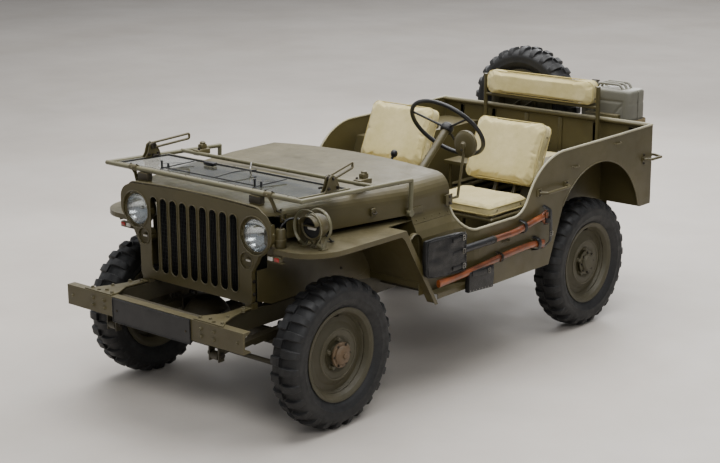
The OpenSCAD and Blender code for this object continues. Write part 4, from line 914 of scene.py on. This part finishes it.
def add_lamps():
    s = Shape("olive")
    centre = Vector((HEADLIGHT_X, -248, HEADLIGHT_Z))
    s.lathe(centre, "y", [(74, -1), (78, -7), (83, -6), (85, 0), (84.5, 8), (80, 12), (79, 38),
                          (66, 58), (40, 70), (16, 72), (0, 72)], 64)
    s.lathe(centre, "y", [(74, -1), (71, 6), (58, 30), (36, 46), (12, 53), (0, 53)], 64, "chrome")
    s.lathe(centre + Vector((0, 30, 0)), "y", [(0, -14), (7, -12), (9, 0), (7, 10), (0, 12)], 20,
            "white_paint")
    for x in (HEADLIGHT_X - 90, HEADLIGHT_X + 90):
        s.block((x - 10, -258.6, 908), (x + 10, -228, 932), 2)
    s.block((476, -240, 914), (489, -214, 926), 2, "dark_steel")
    # marker lamp: hooded slot in a round body
    s.lathe((MARKER_X, -250, MARKER_Z), "y", [(0, -2), (24, -2), (30, -5), (35, -4), (35.5, 2),
                                              (34, 12), (32, 44), (20, 52), (0, 52)], 40)
    s.prism(round_rect(30, 9, 4), "xz", -254.6, -251.5, 1, "white_paint",
            Matrix.Translation((MARKER_X, 0, MARKER_Z)))
    s.block((334, -262, 803), (362, -252, 806), 1.2)
    s.block((301, -258.6, 788), (318, -232, 804), 2)
    s.bolt((381, -252, 796), "-y", 6, 4, "dark_steel")
    s.mirrored().make("headlights", stands_for=["lamps"])

    lens = Shape("lens_glass")
    lens.lathe(centre, "y", [(76.5, 1), (76, -3), (64, -9.5), (46, -13.5), (24, -15.7), (0, -16.4),
                             (0, -13.6), (24, -13), (46, -11), (64, -7), (74, -1), (74, 1)],
               64, closed=True)
    lens.mirrored().make("headlight_lenses", slot="windshield_glass", sharp=50)

    # blackout drive lamp with its hood and hoop guard on the left fender
    s = Shape("olive")
    x, y, z = 620, -120, 970
    s.lathe((x, y, z), "y", [(50, -4), (56, -8), (60, -4), (60, 10), (57, 16), (55, 46), (46, 66),
                             (26, 80), (0, 84)], 56)
    s.lathe((x, y, z), "y", [(50, -4), (48, 4), (0, 6)], 48, "black_paint")
    visor = [(55 * math.cos(a), 55 * math.sin(a)) for a in angles(15, 166, 10)]
    inner = [(a * 0.94, b * 0.94) for a, b in reversed(visor)]
    s.prism([(x + a, z + b) for a, b in visor + inner], "xz", y - 34, y + 2, 0.6)
    s.prism(round_rect(52, 15, 7), "xz", y - 2, y + 3, 1, "white_paint",
            Matrix.Translation((x, 0, z - 6)))
    s.block((x - 40, y - 20, z + 4), (x + 40, y + 2, z + 7), 1)
    for dy, reach in ((-26, 82), (44, 74)):
        hoop = [(x + reach * math.cos(a), y + dy, z + reach * math.sin(a))
                for a in angles(-50, 231, 10)]
        hoop = [(x + 56, y + 14, 874)] + hoop + [(x - 56, y + 14, 874)]
        s.strap(hoop, (0, 1, 0), 13, 4, "shield_tube")
    for dx in (-53, 53):
        s.block((x + dx - 13, y - 4, 870), (x + dx + 13, y + 34, 875), 1.5)
    s.strap([(x - 52, y + 60, 874), (x - 60, y + 40, 910), (x - 66, y + 8, 946)],
            (0, 1, 0.4), 12, 3)
    s.lathe((x, y + 40, 870), "z", [(0, 0), (34, 0), (34, 4), (20, 8), (12, 12), (12, 42),
                                    (18, 46), (18, 58), (0, 58)], 32)
    for dx, dy in ((24, 0), (-24, 0), (0, 24), (0, -24)):
        s.bolt((x + dx, y + 40 + dy, 873), "z", 8, 5, "dark_steel")
    # its lead goes into the fender through a grommet
    s.tube(smooth_line([(x + 10, y + 60, 940), (x + 26, y + 96, 892), (x + 10, y + 130, 880),
                        (x - 30, y + 130, 867)]), 4, "black_paint", 8)
    s.lathe((x - 30, y + 130, 869), "z", [(4, 0), (10, 0), (10, 4), (6, 6), (4, 6)], 16,
            "rubber", closed=True)
    s.make("blackout_lamp", stands_for=["lamps"])

    # tail lamps under the rear corners
    s = Shape("olive")
    spot = Vector((HALF_BODY - 100, BACK_Y, 660))
    s.lathe(spot, "y", [(0, 0), (36, 0), (38, 3), (38, 36), (35, 40), (30, 39)], 40)
    s.lathe(spot, "y", [(30, 39), (30, 34), (0, 34)], 40, "black_paint")
    s.lathe(spot + Vector((0, 34, 11)), "y", [(0, 0), (12, 0), (11, 5), (0, 7)], 24, "red_glass")
    s.block(spot + Vector((-18, 33, -20)), spot + Vector((18, 38, -9)), 2, "red_glass")
    s.block(spot + Vector((-30, -0.5, -12)), spot + Vector((30, 8, 46)), 2)
    # round reflectors at the rear corners
    spot = (HALF_BODY - 60, BACK_Y, 735)
    s.lathe(spot, "y", [(0, 0), (34, 0), (34, 8), (29, 10), (27, 8)], 32)
    s.lathe(spot, "y", [(27, 8), (27, 9), (0, 12)], 32, "red_glass")
    s.mirrored().make("tail_lamps_and_reflectors", stands_for=["lamps"])


def add_fender_trim():
    s = Shape("olive")
    # reflectors that hang under the front corners
    s.block((452, -236, 806), (545, -214, 812), 2)
    s.block((458, -243, 812), (538, -222, 838), 6)
    for side in (-1, 1):
        s.block((498 + side * 20 - 15, -246.5, 816), (498 + side * 20 + 15, -241, 834), 4,
                "red_glass" if side > 0 else "white_paint")
    s.block((546, -236, 838), (552, -218, 848), 1)
    # bolts along the apron and the step flange
    for y, z in ((60, 820), (330, 820), (330, 640)):
        s.bolt((386, y, z), "x", 11, 6, "dark_steel")
    for z, y in ((560, 575), (600, 548)):
        s.bolt((720, y, z), "-y", 10, 6, "dark_steel")
    # curved stay between the fender and the body side
    stay = smooth_line([(684, 470, 790), (688, 512, 822), (690, 552, 800), (690, 578, 730),
                        (689, 590, 668)])
    s.strap(stay, (1, 0, 0), 26, 3)
    s.mirrored().make("fender_fittings")

    # boxes on the apron behind the left headlight, with a lead between two of them
    s = Shape("olive")
    s.block((424, -226, 873), (452, -176, 948), 5)
    s.lathe((498, -196, 871), "z", [(0, 0), (25, 0), (26, 4), (26, 76), (20, 86), (0, 88)], 36)
    s.lathe((498, -196, 900), "z", [(26, 0), (28, 1), (28, 8), (26, 9)], 36, closed=True)
    s.block((516, -110, 872), (534, -60, 990), 6)
    s.bolt((438, -200, 948), "z", 10, 8, "dark_steel")
    s.bolt((498, -196, 958), "z", 12, 8, "dark_steel")
    s.tube(smooth_line([(498, -196, 962), (506, -150, 992), (525, -100, 988)]), 5, "black_paint", 8)
    s.make("fender_boxes_left")


def add_hood_trim():
    s = Shape("olive")
    # hood catches and the eyes that the windshield hooks hold
    for y, x, z in ((-150, 470, 1000), (330, 590, 955)):
        s.block((x - 4, y - 16, z - 26), (x + 6, y + 16, z + 10), 2)
        eye = [(x + 6, y - 12, z - 6), (x + 16, y - 12, z - 14), (x + 16, y + 12, z - 14),
               (x + 6, y + 12, z - 6)]
        s.tube(bent_line(eye, 5), 3, "dark_steel", 8)
        for dy in (-9, 9):
            s.rivet((x + 6, y + dy, z + 3), "x", 4)
    s.block((454, -196, 1004), (466, -164, 1034), 2)
    eye = [(464, -190, 1012), (476, -190, 1006), (476, -170, 1006), (464, -170, 1012)]
    s.tube(bent_line(eye, 5), 3, "dark_steel", 8)
    s.mirrored().make("hood_fittings")

    s = Shape("rest_wood")
    for side in (-1, 1):
        s.block((side * 340, -234, 1060), (side * 410, -198, 1094), 5)
    s.make("windshield_rests", slot="tool_wood", sharp=35)


# ---------- windshield ----------

def shield_z(y):
    return 1107 - 35 * (y + 216) / 757


def add_windshield_trim():
    s = Shape("olive")
    for side in (-1, 1):
        x = side * 600
        # swivel brackets with their folded arms
        quadrant = [(-26, 1104), (78, 1104), (72, 1128), (50, 1168), (28, 1180), (6, 1168),
                    (-6, 1130)]
        for dx in (-14, 8):
            s.prism(quadrant, "yz", x + dx, x + dx + 5, 1)
        for y, z in ((0, 1120), (58, 1118), (30, 1162)):
            s.bolt((x + 13, y, z), "x", 12, 9, "dark_steel")
            s.bolt((x - 14, y, z), "-x", 12, 6, "dark_steel")
        tip = Vector((x - side * 52, 236, 1182))
        root = Vector((x - side * 6, 26, 1160))
        lift = Vector((0, 0, 13))
        s.tube(bent_line([root + lift, tip + lift, tip - lift, root - lift], 9), 6, sides=10)
        s.lathe(root, "x", [(0, -16), (15, -16), (15, 16), (0, 16)], 20, "dark_steel")
        # wing nut
        s.tube([(x - side * 18, 22, 1116), (x - side * 44, 16, 1116)], 6, "dark_steel")
        s.block((x - side * 40, -4, 1111), (x - side * 48, 38, 1121), 3, "dark_steel")
        # rear clamp with its knob
        z = shield_z(300)
        s.block((side * 520, 268, z - 8), (side * 566, 356, z + 22), 7)
        s.block((side * 528, 300, z + 20), (side * 558, 340, z + 46), 6)
        s.lathe((side * 543, 322, z + 42), "z", [(0, 0), (11, 0), (15, 4), (15, 11), (10, 15),
                                                 (0, 15)], 12)
        s.bolt((side * 532, 284, z + 22), "z", 12, 9, "dark_steel")
        # hooks that hold the folded windshield down to the hood
        top = Vector((side * 452, -216, 1110))
        foot = Vector((side * 466, -182, 1020))
        s.tube([top + Vector((-24, 0, 0)), top + Vector((24, 0, 0))], 15, sides=16)
        s.strap([top + Vector((0, -12, 6)), top.lerp(foot, 0.3), top.lerp(foot, 0.86)],
                (0, 1, 0.3), 20, 7)
        hook = [top.lerp(foot, 0.82), foot + Vector((side * 4, 4, 6)),
                foot + Vector((side * 8, 16, 2)), foot + Vector((side * 6, 18, 18))]
        s.tube(bent_line(hook, 6), 4, "dark_steel", 8)
        for dx in (-20, 20):
            s.bolt(top + Vector((dx, 0, 14)), "z", 8, 5, "dark_steel")
    # rivets of the inner frame
    for x in (-600, 600):
        for y in (-190, 125):
            s.rivet((x, y, shield_z(y) + 8), "z", 4)
    for x in range(-550, 551, 110):
        s.rivet((x, -196, shield_z(-196) + 8), "z", 3.4)
        s.rivet((x, 141, shield_z(141) + 7), "z", 3.4)
    s.make("windshield_fittings", "windshield")

    # wipers: a rod along the glass between two posts, the cross arm and its handle
    s = Shape("black_paint")
    z = shield_z(-150)
    posts = (-328, 296)
    for x in posts:
        s.lathe((x, -148, z), "z", [(0, 0), (11, 0), (11, 5), (5, 7), (5, 36), (7, 38), (7, 44),
                                    (0, 46)], 16)
        s.lathe((x + 14, -120, z - 1), "z", [(0, 0), (6, 0), (6, 26), (4, 30), (0, 30)], 14)
    s.tube([(x, -148, z + 12) for x in posts], 3.4, sides=8)
    s.tube(smooth_line([(38, -146, z + 14), (44, -20, z + 20), (56, 104, z + 8)]), 3.2, sides=8)
    handle = [(-40, 166, 1098), (-40, 166, 1126), (60, 60, 1128), (60, 60, 1104)]
    s.tube(bent_line(handle, 12), 4, "steel", 10)
    s.block((-270, 66, 1098), (-200, 96, 1116), 5)
    # blades
    for x in posts:
        s.block((x - 4, -136, z + 4), (x + 4, 60, z + 9), 1.5)
        s.strap([(x, -148, z + 30), (x, -90, z + 22), (x, -20, z + 12)], (1, 0, 0), 7, 2)
    s.make("wipers", "windshield", "plate_black")

    s = Shape("rubber")
    ring = [(x, y, shield_z(y) + 4.5) for x, y in
            ((-598, -184), (598, -184), (598, 136), (-598, 136), (-598, -184))]
    s.tube(bent_line(ring, 6), 4, sides=8)
    s.make("windshield_seal", "windshield", "tyre_rubber", sharp=35)


# ---------- body ----------

def side_top():
    """The door cut-out curve and the top of the rear side, as (y, z)."""
    line = [(855, 880)]
    line += [(940 - 85 * math.cos(a), 851 - 85 * math.sin(a)) for a in angles(0, 91, 10)]
    y, z, r = REAR_Y - 786, 899, 133
    line += [(y + r * math.sin(a), z - r * math.cos(a)) for a in angles(0, 63, 7)]
    y, z, r = REAR_Y - 342, 680, 361
    line += [(y + r * math.cos(a), z + r * math.sin(a)) for a in angles(152, 89, -6)]
    return line + [(BACK_Y - 340, 1045), (BACK_Y - 4, 1051)]


def smoothstep(t):
    t = max(0.0, min(1.0, t))
    return t * t * (3 - 2 * t)


def side_at(y, z):
    """Half width of the body side: narrow at the cowl, wide behind the door."""
    top, sill = 630, 680
    low = sill + (HALF_BODY - sill) * smoothstep((y - 800) / 160)
    return top + (low - top) * (1 - smoothstep((z - 766) / 134))


def add_body_trim():
    s = Shape("olive_edge")
    line = [(side_at(y, z) - 1.5 if y < 965 else HALF_BODY - 1.5, y, z + 1) for y, z in side_top()]
    s.tube(line, 6.2, sides=10)
    s.mirrored().make("door_edge_beads", sharp=50)

    s = Shape("olive")
    # lips of the rear wheel arches
    arch = [(HALF_BODY, REAR_Y - 4 + 416 * math.cos(a), 511 + 416 * math.sin(a))
            for a in angles(146, 13, -4)]
    s.tube(arch, 3.6, sides=8)
    # ribs pressed into the rear panel and the floor
    for x in (-600, -360, 120, 360, 600):
        s.block((x - 14, BACK_Y - 9, 780), (x + 14, BACK_Y - 2, 1020), 3)
    for x in range(-400, 401, 100):
        s.block((x - 16, REAR_Y - 360, 594), (x + 16, BACK_Y - 20, 599), 2.5)
    for x in (-560, -440, -320, -200, 200, 320, 440, 560):
        s.block((x - 14, 700, 538), (x + 14, 1560, 543.5), 2.5)
    # strap loops and bolted pads on the side
    for y, z in ((1180, 660), (1790, 940), (2200, 1000)):
        loop = [(HALF_BODY - 1, y - 26, z), (HALF_BODY + 12, y - 24, z),
                (HALF_BODY + 12, y + 24, z), (HALF_BODY - 1, y + 26, z)]
        s.tube(bent_line(loop, 7), 3.6, sides=8)
        for dy in (-28, 28):
            s.rivet((HALF_BODY, y + dy, z), "x", 7)
    for y in (1462, 1707):
        s.block((HALF_BODY - 1, y - 20, 837), (HALF_BODY + 6, y + 20, 877), 4)
        for z in (844, 870):
            s.bolt((HALF_BODY + 6, y, z), "x", 9, 5, "dark_steel")
    for z in (845, 892):
        s.bolt((HALF_BODY + 5, BACK_Y - 90, z), "x", 9, 5, "dark_steel")
    # seam between the cowl and the tub
    seam = [(side_at(y, 851) + 0.6, y, 851) for y in range(566, 850, 30)]
    s.strap(seam, (0, 0, 1), 5, 2)
    for y in range(590, 850, 60):
        s.rivet((side_at(y, 862) + 0.3, y, 866), "x", 3.6)
    s.mirrored().make("body_fittings")

    # worn top rail over the rear edge
    s = Shape("olive_edge")
    s.tube([(-HALF_BODY + 4, BACK_Y - 8, 1052), (HALF_BODY - 4, BACK_Y - 8, 1052)], 7, sides=12)
    s.make("rear_rail_bead", sharp=35)


def add_cabin_trim():
    s = Shape("olive")
    # dials on the instrument panel
    y = 818
    for x, z, r in ((0, 985, 46), (-78, 1012, 26), (78, 1012, 26), (-78, 950, 26), (78, 950, 26)):
        s.lathe((x, y, z), "y", [(r, -2), (r + 6, 0), (r + 6, 6), (r + 1, 9), (r, 6)], 40)
        s.lathe((x, y, z), "y", [(r, 3), (r * 0.9, 3.2), (0, 3.2)], 40, "black_paint")
        for k in range(9):
            a = math.radians(-40 + k * 32.5)
            tick = Matrix.Translation((x, y, z)) @ Matrix.Rotation(-a, 4, "Y")
            s.block((-r * 0.86, 2.4, -0.9), (-r * 0.68, 4.4, 0.9), 0.3, "white_paint", tick)
        hand = Matrix.Translation((x, y, z)) @ Matrix.Rotation(-math.radians(20), 4, "Y")
        s.block((-r * 0.6, 3.4, -0.8), (2, 5, 0.8), 0.3, "white_paint", hand)
    knob = [(0, 0), (9, 0), (9, 5), (4, 7), (4, 18), (10, 20), (10, 27), (0, 28)]
    for x in (150, 190, 230, -150, -190):
        s.lathe((x, y, 930), "y", knob, 16, "black_paint")
    # blank data plates
    for x in (-300, -420):
        s.block((x - 42, y - 1, 950), (x + 42, y + 2.5, 1010), 1, "steel")
    # grab handle for the passenger
    handle = [(-520, y, 940), (-520, y + 34, 940), (-360, y + 34, 920), (-360, y, 920)]
    s.tube(bent_line(handle, 14), 7)
    s.make("dashboard")

    s = Shape("black_paint")
    # rubber treads of the pedals, accelerator and foot switches
    for x in (230, 430):
        for z in (702, 716, 730, 744):
            s.block((x - 29, 664, z), (x + 29, 671, z + 8), 2, "rubber")
    s.tube(smooth_line([(510, 690, 545), (508, 676, 600), (505, 668, 640)]), 6)
    s.block((480, 660, 630), (530, 668, 690), 3, "rubber")
    # boots round the levers and the knob on the gear lever
    s.lathe((4, 968, 586), "z", [(0, 0), (52, 0), (54, 6), (40, 14), (42, 20), (28, 28), (30, 34),
                                 (16, 46), (10, 52), (0, 52)], 28, "rubber")
    s.lathe((42, 1137, 1024), "z", [(0, -21), (9, -20), (17, -12), (19.5, 0), (16, 12), (8, 18.5),
                                    (0, 19.5)], 28)
    s.make("pedals_and_boots", slot="wheel_plastic")


def add_steering_trim():
    """Horn button and the ring round the wheel's hub."""
    slope = math.radians(41)
    axis = Vector((0, math.cos(slope), math.sin(slope)))
    hub = Vector((345, 1200, 1187))
    s = Shape("black_paint")
    s.lathe(hub, axis, [(0, 8), (31, 8), (31, 13), (24, 20), (12, 22), (0, 22)], 36)
    s.lathe(hub, axis, [(33, -18), (35, -8), (35, 4), (31, 10)], 36)
    s.make("horn_button", "steering_wheel", "wheel_plastic")


def add_mirror_trim():
    s = Shape("olive")
    c = Vector((652, 944, 1181))
    s.lathe(c, "y", [(0, -12), (24, -10), (48, -5), (63, 0), (68, 6), (68, 13), (65, 17),
                     (63, 15)], 56)
    s.lathe(c, "y", [(63, 15), (63, 14.6), (0, 14.6)], 56, "mirror_glass")
    boss = [(0, -12), (7, -11), (10, -4), (16, 0), (16, 3), (0, 3)]
    s.lathe(c + Vector((0, -12, 0)), "y", boss, 20)
    s.block(c + Vector((-9, -22, -36)), c + Vector((9, -10, 8)), 4)
    s.bolt(c + Vector((0, -23, -26)), "-y", 10, 6, "dark_steel")
    s.block((645, 806, 896), (650, 856, 952), 2)
    for z in (908, 940):
        s.bolt((650, 831, z), "x", 11, 7, "dark_steel")
    s.make("mirror_head")


# ---------- tools and loads ----------

TOOL_X = HALF_BODY + 26
COVER_Y, COVER_Z = 650, 700  # middle of the cover over the shovel's blade


def shovel_z(y):
    return 700 + 36 * smoothstep((y - 1180) / 320)


def axe_z(y):
    return 570 + 36 * smoothstep((y - 640) / 700) - 14 * smoothstep((y - 1360) / 130)


def buckle(s, at, wide, tall):
    """A small frame buckle lying against the car's side."""
    x, y, z = at
    ring = bent_line([(x, y - wide, z - tall), (x, y + wide, z - tall), (x, y + wide, z + tall),
                      (x, y - wide, z + tall), (x, y - wide, z - tall)], 4)
    s.tube(ring, 2, "steel", 8)
    s.tube([(x + 1, y - wide, z), (x + 1, y + wide, z)], 1.6, "steel", 8)


def band(s, y, z, half_z, width, x_out):
    """A strap round a handle, from the car's side out and back."""
    loop = [(HALF_BODY, y, z - half_z - 16), (x_out - 6, y, z - half_z - 6), (x_out, y, z),
            (x_out - 6, y, z + half_z + 6), (HALF_BODY, y, z + half_z + 16)]
    s.strap(bent_line(loop, 12), (0, 1, 0), width, 3)


def add_tools():
    s = Shape("wood")
    line = [(TOOL_X, y, shovel_z(y)) for y in range(900, 1461, 40)]
    s.tube(smooth_line(line, 2), 16, sides=18)
    # forked end that carries the grip
    for dz in (-1, 1):
        fork = smooth_line([(TOOL_X, 1440, 733), (TOOL_X, 1466, 734 + dz * 16),
                            (TOOL_X, 1490, 727 + dz * 30), (TOOL_X, 1502, 725 + dz * 32)])
        s.sweep(fork, ring_points(9, 12, tall=6))
    s.tube([(TOOL_X, 1494, 690), (TOOL_X, 1494, 760)], 12, sides=16)
    for z in (689, 755):
        s.lathe((TOOL_X, 1494, z), "z", [(0, 0), (12, 0), (13, 3), (12, 6), (0, 6)], 16,
                "dark_steel")
    # socket and its frog, running into the cover
    socket = [(TOOL_X, y, shovel_z(y)) for y in range(780, 1041, 20)]
    s.tube(socket, 18.5, "black_paint", 18)
    s.tube([(TOOL_X, 1030, shovel_z(1030)), (TOOL_X, 1046, shovel_z(1046))], 19.5, "dark_steel", 18)
    for y in (1000, 960):
        s.rivet((TOOL_X + 18, y, shovel_z(y)), "x", 4, "dark_steel")
    s.block((711, 640, 668), (TOOL_X - 17, 700, 712), 3, "olive")
    s.make("shovel", slot="tool_wood", stands_for=["shovel"], sharp=50)

    cover = Shape("leather")
    outline = [(500, 640), (508, 622), (560, 612), (640, 604), (740, 599), (802, 600), (806, 640),
               (806, 700), (804, 760), (800, 789), (740, 792), (640, 797), (560, 801), (504, 800),
               (498, 780), (496, 700)]
    cover.prism(outline, "yz", TOOL_X - 17, TOOL_X + 11, 9)
    obj = remeshed("shovel_blade_cover", cover.mesh("shovel_blade_cover"))
    middle, half_y, half_z = place(TOOL_X, COVER_Y, COVER_Z), 0.155, 0.1
    for v in obj.data.vertices:
        dy, dz = (v.co.y - middle.y) / half_y, (v.co.z - middle.z) / half_z
        bulge = max(0.0, 1 - dy * dy) * max(0.0, 1 - dz * dz)
        folds = noise.noise(Vector((v.co.y * 12, v.co.z * 24, 3.1))) * 0.006
        if v.co.x > middle.x:
            v.co.x += 0.008 * bulge ** 0.5 + folds * (0.4 + bulge)
        v.co.z += noise.noise(Vector((v.co.y * 22, v.co.z * 6, 8.4))) * 0.0022
    subdivide(obj)
    dress(obj, "leather", "chassis", "shovel")

    s = Shape("leather")
    # stitched rim of the cover and the buckled flap at its mouth
    for x, k in ((TOOL_X + 10, 1), (TOOL_X + 14, 0.93)):
        rim = [(x, COVER_Y + (y - COVER_Y) * k, COVER_Z + (z - COVER_Z) * k) for y, z in outline]
        s.tube(rim, 2.2, sides=8, closed=True)
    for z in (628, 700, 768):
        s.strap(smooth_line([(TOOL_X + 20, 690, z), (TOOL_X + 19, 760, z), (TOOL_X + 13, 806, z),
                             (TOOL_X - 16, 812, z)]), (0, 0, 1), 20, 3.5)
        buckle(s, (TOOL_X + 22, 775, z), 8, 12)
    for k in range(7):
        s.rivet((TOOL_X + 12, 800, 614 + k * 28), "x", 3.5, "steel")
    # straps that hold the two tools to the side
    band(s, 1300, shovel_z(1300), 18, 24, TOOL_X + 18)
    band(s, 1420, axe_z(1420), 20, 28, TOOL_X + 20)
    s.strap(bent_line([(HALF_BODY, 1505, 782), (TOOL_X + 14, 1512, 762), (TOOL_X + 18, 1514, 690),
                       (TOOL_X + 16, 1514, 600), (HALF_BODY, 1508, 556)], 12), (0, 1, 0), 30, 4)
    s.strap(bent_line([(HALF_BODY, 1476, 716), (TOOL_X + 16, 1480, 712), (TOOL_X + 20, 1512, 712),
                       (HALF_BODY + 2, 1530, 712)], 8), (0, 0, 1), 26, 4)
    buckle(s, (TOOL_X + 21, 1514, 640), 14, 11)
    # sheath over the axe head, with its flap
    sheath = [(828, 474), (1026, 462), (1036, 520), (1032, 574), (940, 582), (832, 578)]
    s.prism(sheath, "yz", TOOL_X - 15, TOOL_X + 14, 6)
    flap = [(TOOL_X + 16, 850, 566), (TOOL_X + 17, 930, 560), (TOOL_X + 17, 1020, 556)]
    s.strap(smooth_line(flap), (0, 0, 1), 26, 4)
    buckle(s, (TOOL_X + 20, 985, 558), 8, 12)
    for k in range(8):
        s.rivet((TOOL_X + 14, 840 + k * 24, 482 - k * 1.3), "x", 3, "steel")
    s.make("tool_straps_and_sheath", slot="plate_black", stands_for=["shovel", "axe"])

    s = Shape("wood")
    # axe handle: slim oval with a flared end
    line = [(TOOL_X, y, axe_z(y)) for y in range(604, 1495, 30)]
    s.sweep(smooth_line(line, 2), ring_points(17, 18, tall=12), up=(0, 0, 1))
    for p in s.points:
        swell_end = 1 + 0.35 * smoothstep((p.y - 1400) / 80) + 0.2 * smoothstep((680 - p.y) / 70)
        p.z = axe_z(p.y) + (p.z - axe_z(p.y)) * swell_end
    for y in (1100, 1400):
        s.block((HALF_BODY - 1, y - 10, axe_z(y) - 22), (HALF_BODY + 5, y + 10, axe_z(y) + 22), 2,
                "olive")
    z = axe_z(1100)
    clip = [(HALF_BODY, 1100, z - 24), (TOOL_X + 17, 1100, z - 18), (TOOL_X + 17, 1100, z + 18),
            (HALF_BODY, 1100, z + 24)]
    s.strap(bent_line(clip, 12), (0, 1, 0), 16, 3, "dark_steel")
    s.make("axe_handle", slot="tool_wood", stands_for=["axe"], sharp=50)


def add_can():
    """Pressed steel can: two shells with a cross stamped in each, welded along the middle."""
    cx, cy, z0 = 393, 2680.5, 775
    w, d, h = 345, 165, 440
    bm = bmesh.new()
    bmesh.ops.create_cube(bm, size=1)
    for v in bm.verts:
        v.co = Vector((v.co.x * w, v.co.y * d, v.co.z * h))
    upright = [e for e in bm.edges if abs(e.verts[0].co.z - e.verts[1].co.z) > 1]
    round_off(bm, upright, 34, 6, clamp=False)
    rims = [e for e in bm.edges if abs(e.verts[0].co.z - e.verts[1].co.z) < 1
            and len(e.link_faces) == 2
            and abs(e.link_faces[0].normal.z - e.link_faces[1].normal.z) > 0.5]
    round_off(bm, rims, 16, 4, clamp=False)
    bmesh.ops.triangulate(bm, faces=[f for f in bm.faces if len(f.verts) > 4])
    data = bpy.data.meshes.new("fuel_can")
    for v in bm.verts:
        v.co = place(*(v.co + Vector((cx, cy, z0 - 3 + h / 2))))
    bm.to_mesh(data)
    bm.free()
    obj = remeshed("fuel_can_shell", data, 0.005)
    mid = place(cx, cy, z0 + h / 2)
    for v in obj.data.vertices:
        a, b = (v.co.x - mid.x) / MM, (v.co.z - mid.z) / MM
        if abs(v.co.y - mid.y) > 0.07 and abs(a) < 150 and abs(b) < 190:
            # grooves of the cross and of the frame round it
            cross = min(abs(abs(a) * 1.2 - abs(b)) / 1.56, 400)
            out = max(abs(a) / 118, abs(b) / 150)  # 1 along the frame
            depth = 1 - cross / 13 if out < 1 and abs(a) > 24 else 0.0
            depth = max(0.0, depth, 1 - abs(out - 1) * 118 / 9)
            v.co.y -= math.copysign(0.0045 * smoothstep(depth), v.co.y - mid.y)
        if abs(v.co.x - mid.x) > 0.155 and abs(b) < 170:
            # ribs across the ends
            rib = max(0, 1 - abs(b % 96 - 48) / 10)
            v.co.x -= math.copysign(0.003 * rib, v.co.x - mid.x)
    dress(obj, "olive_can", "chassis", "fuel_can")

    s = Shape("olive_can")
    seam = [(cx + a, cy, z0 + 217 + b) for a, b in round_rect(w + 4, h - 4, 16)]
    s.strap(seam, (0, 1, 0), 10, 4, closed=True)
    for y in (cy - 46, cy, cy + 46):
        handle = [(cx - 78, y, z0 + h - 8), (cx - 60, y, z0 + h + 22), (cx + 78, y, z0 + h + 22),
                  (cx + 98, y, z0 + h - 8)]
        s.tube(bent_line(handle, 16), 7, sides=14)
    cap = [(0, 0), (30, 0), (30, 14), (27, 18), (27, 28), (20, 33), (0, 34)]
    s.lathe((cx - 128, cy, z0 + h - 8), "z", cap, 32)
    s.block((cx - 170, cy - 12, z0 + h - 2), (cx - 128, cy + 12, z0 + h + 6), 3)
    s.block((cx - 140, cy - 8, z0 + h + 20), (cx - 92, cy + 8, z0 + h + 30), 3, "dark_steel")
    # bracket on the rear panel: tray, back plate and the strap with its buckle
    low = z0 - 4
    s.block((cx - 186, BACK_Y, low), (cx + 186, cy + 88, low + 5), 2, "olive")
    for dx in (-186, 182):
        s.block((cx + dx, BACK_Y, low), (cx + dx + 5, cy + 88, low + 40), 2, "olive")
    s.block((cx - 186, cy + 85, low), (cx + 186, cy + 90, low + 40), 2, "olive")
    s.block((cx - 110, BACK_Y, z0 + 40), (cx + 110, cy - 82, z0 + 300), 4, "olive")
    belt = [(cx + a, cy + b, z0 + 250) for a, b in
            ((-110, -88), (-180, -80), (-180, 87), (180, 87), (180, -80), (110, -88))]
    s.strap(bent_line(belt, 26), (0, 0, 1), 34, 4, "strap_web")
    s.block((cx + 20, cy + 86, z0 + 230), (cx + 66, cy + 92, z0 + 270), 3, "steel")
    s.make("fuel_can_fittings", slot="can_paint", stands_for=["fuel_can"])


SPARE_X = -205


def add_rear_trim():
    s = Shape("olive")
    for xs, y, zs in (((320, 380), BACK_Y + 36, (520, 560)), ((-50, 50), 2549, (515, 577))):
        for x in xs:
            for z in zs:
                s.bolt((x, y, z), "y", 14, 8, "dark_steel")
    # plates that carry the spare
    for low, high in ((850, 884), (1012, 1044)):
        s.block((SPARE_X - 130, BACK_Y - 0.5, low), (SPARE_X + 130, BACK_Y + 5, high), 2)
    for dx in (-110, -70, 70, 110):
        for z in (867, 1028):
            s.bolt((SPARE_X + dx, BACK_Y + 5, z), "y", 12, 7, "dark_steel")
    for z in (660, 740, 960):
        for side in (-1, 1):
            s.rivet((side * (HALF_BODY - 30), BACK_Y, z), "y", 5)
    s.make("rear_fittings")


def add_seat_trim():
    """Springs, rivets and canvas slings of the front seats."""
    for name, side, body in FRONT_SEATS:
        s = Shape("olive")
        x = side * SEAT_X
        for y in range(1290, 1531, 60):
            s.tube([(x - 200, y, 722), (x + 200, y, 722)], 5, sides=8)
        for dx in (-204, 204):
            for y in (1268, 1580):
                s.rivet((x + dx, y, 733), "z", 5)
        # canvas sling behind the back cushion
        up = Vector((0, math.sin(BACK_LEAN), math.cos(BACK_LEAN)))
        behind = Vector((0, math.cos(BACK_LEAN), -math.sin(BACK_LEAN)))
        foot = Vector((x, BACK_FOOT_Y, BACK_FOOT_Z))
        for reach in (70, 150, 230):
            spot = foot + up * reach + behind * 88
            sling = [spot + Vector((dx, 0, 0)) + behind * sag
                     for dx, sag in ((-205, 0), (-100, 5), (100, 5), (205, 0))]
            s.strap(sling, up, 42, 4, "strap_web")
        s.make(name + "_seat_webbing", body, "canvas")


add_camera()
add_world()
make_finishes()
dress_frame()
add_floor()
for light in LIGHTS:
    add_light(*light)
add_tyres()
add_cushions()
add_wheel_trim()
add_front()
add_grille_trim()
add_lamps()
add_fender_trim()
add_hood_trim()
add_windshield_trim()
add_body_trim()
add_cabin_trim()
add_steering_trim()
add_mirror_trim()
add_tools()
add_can()
add_rear_trim()
add_seat_trim()
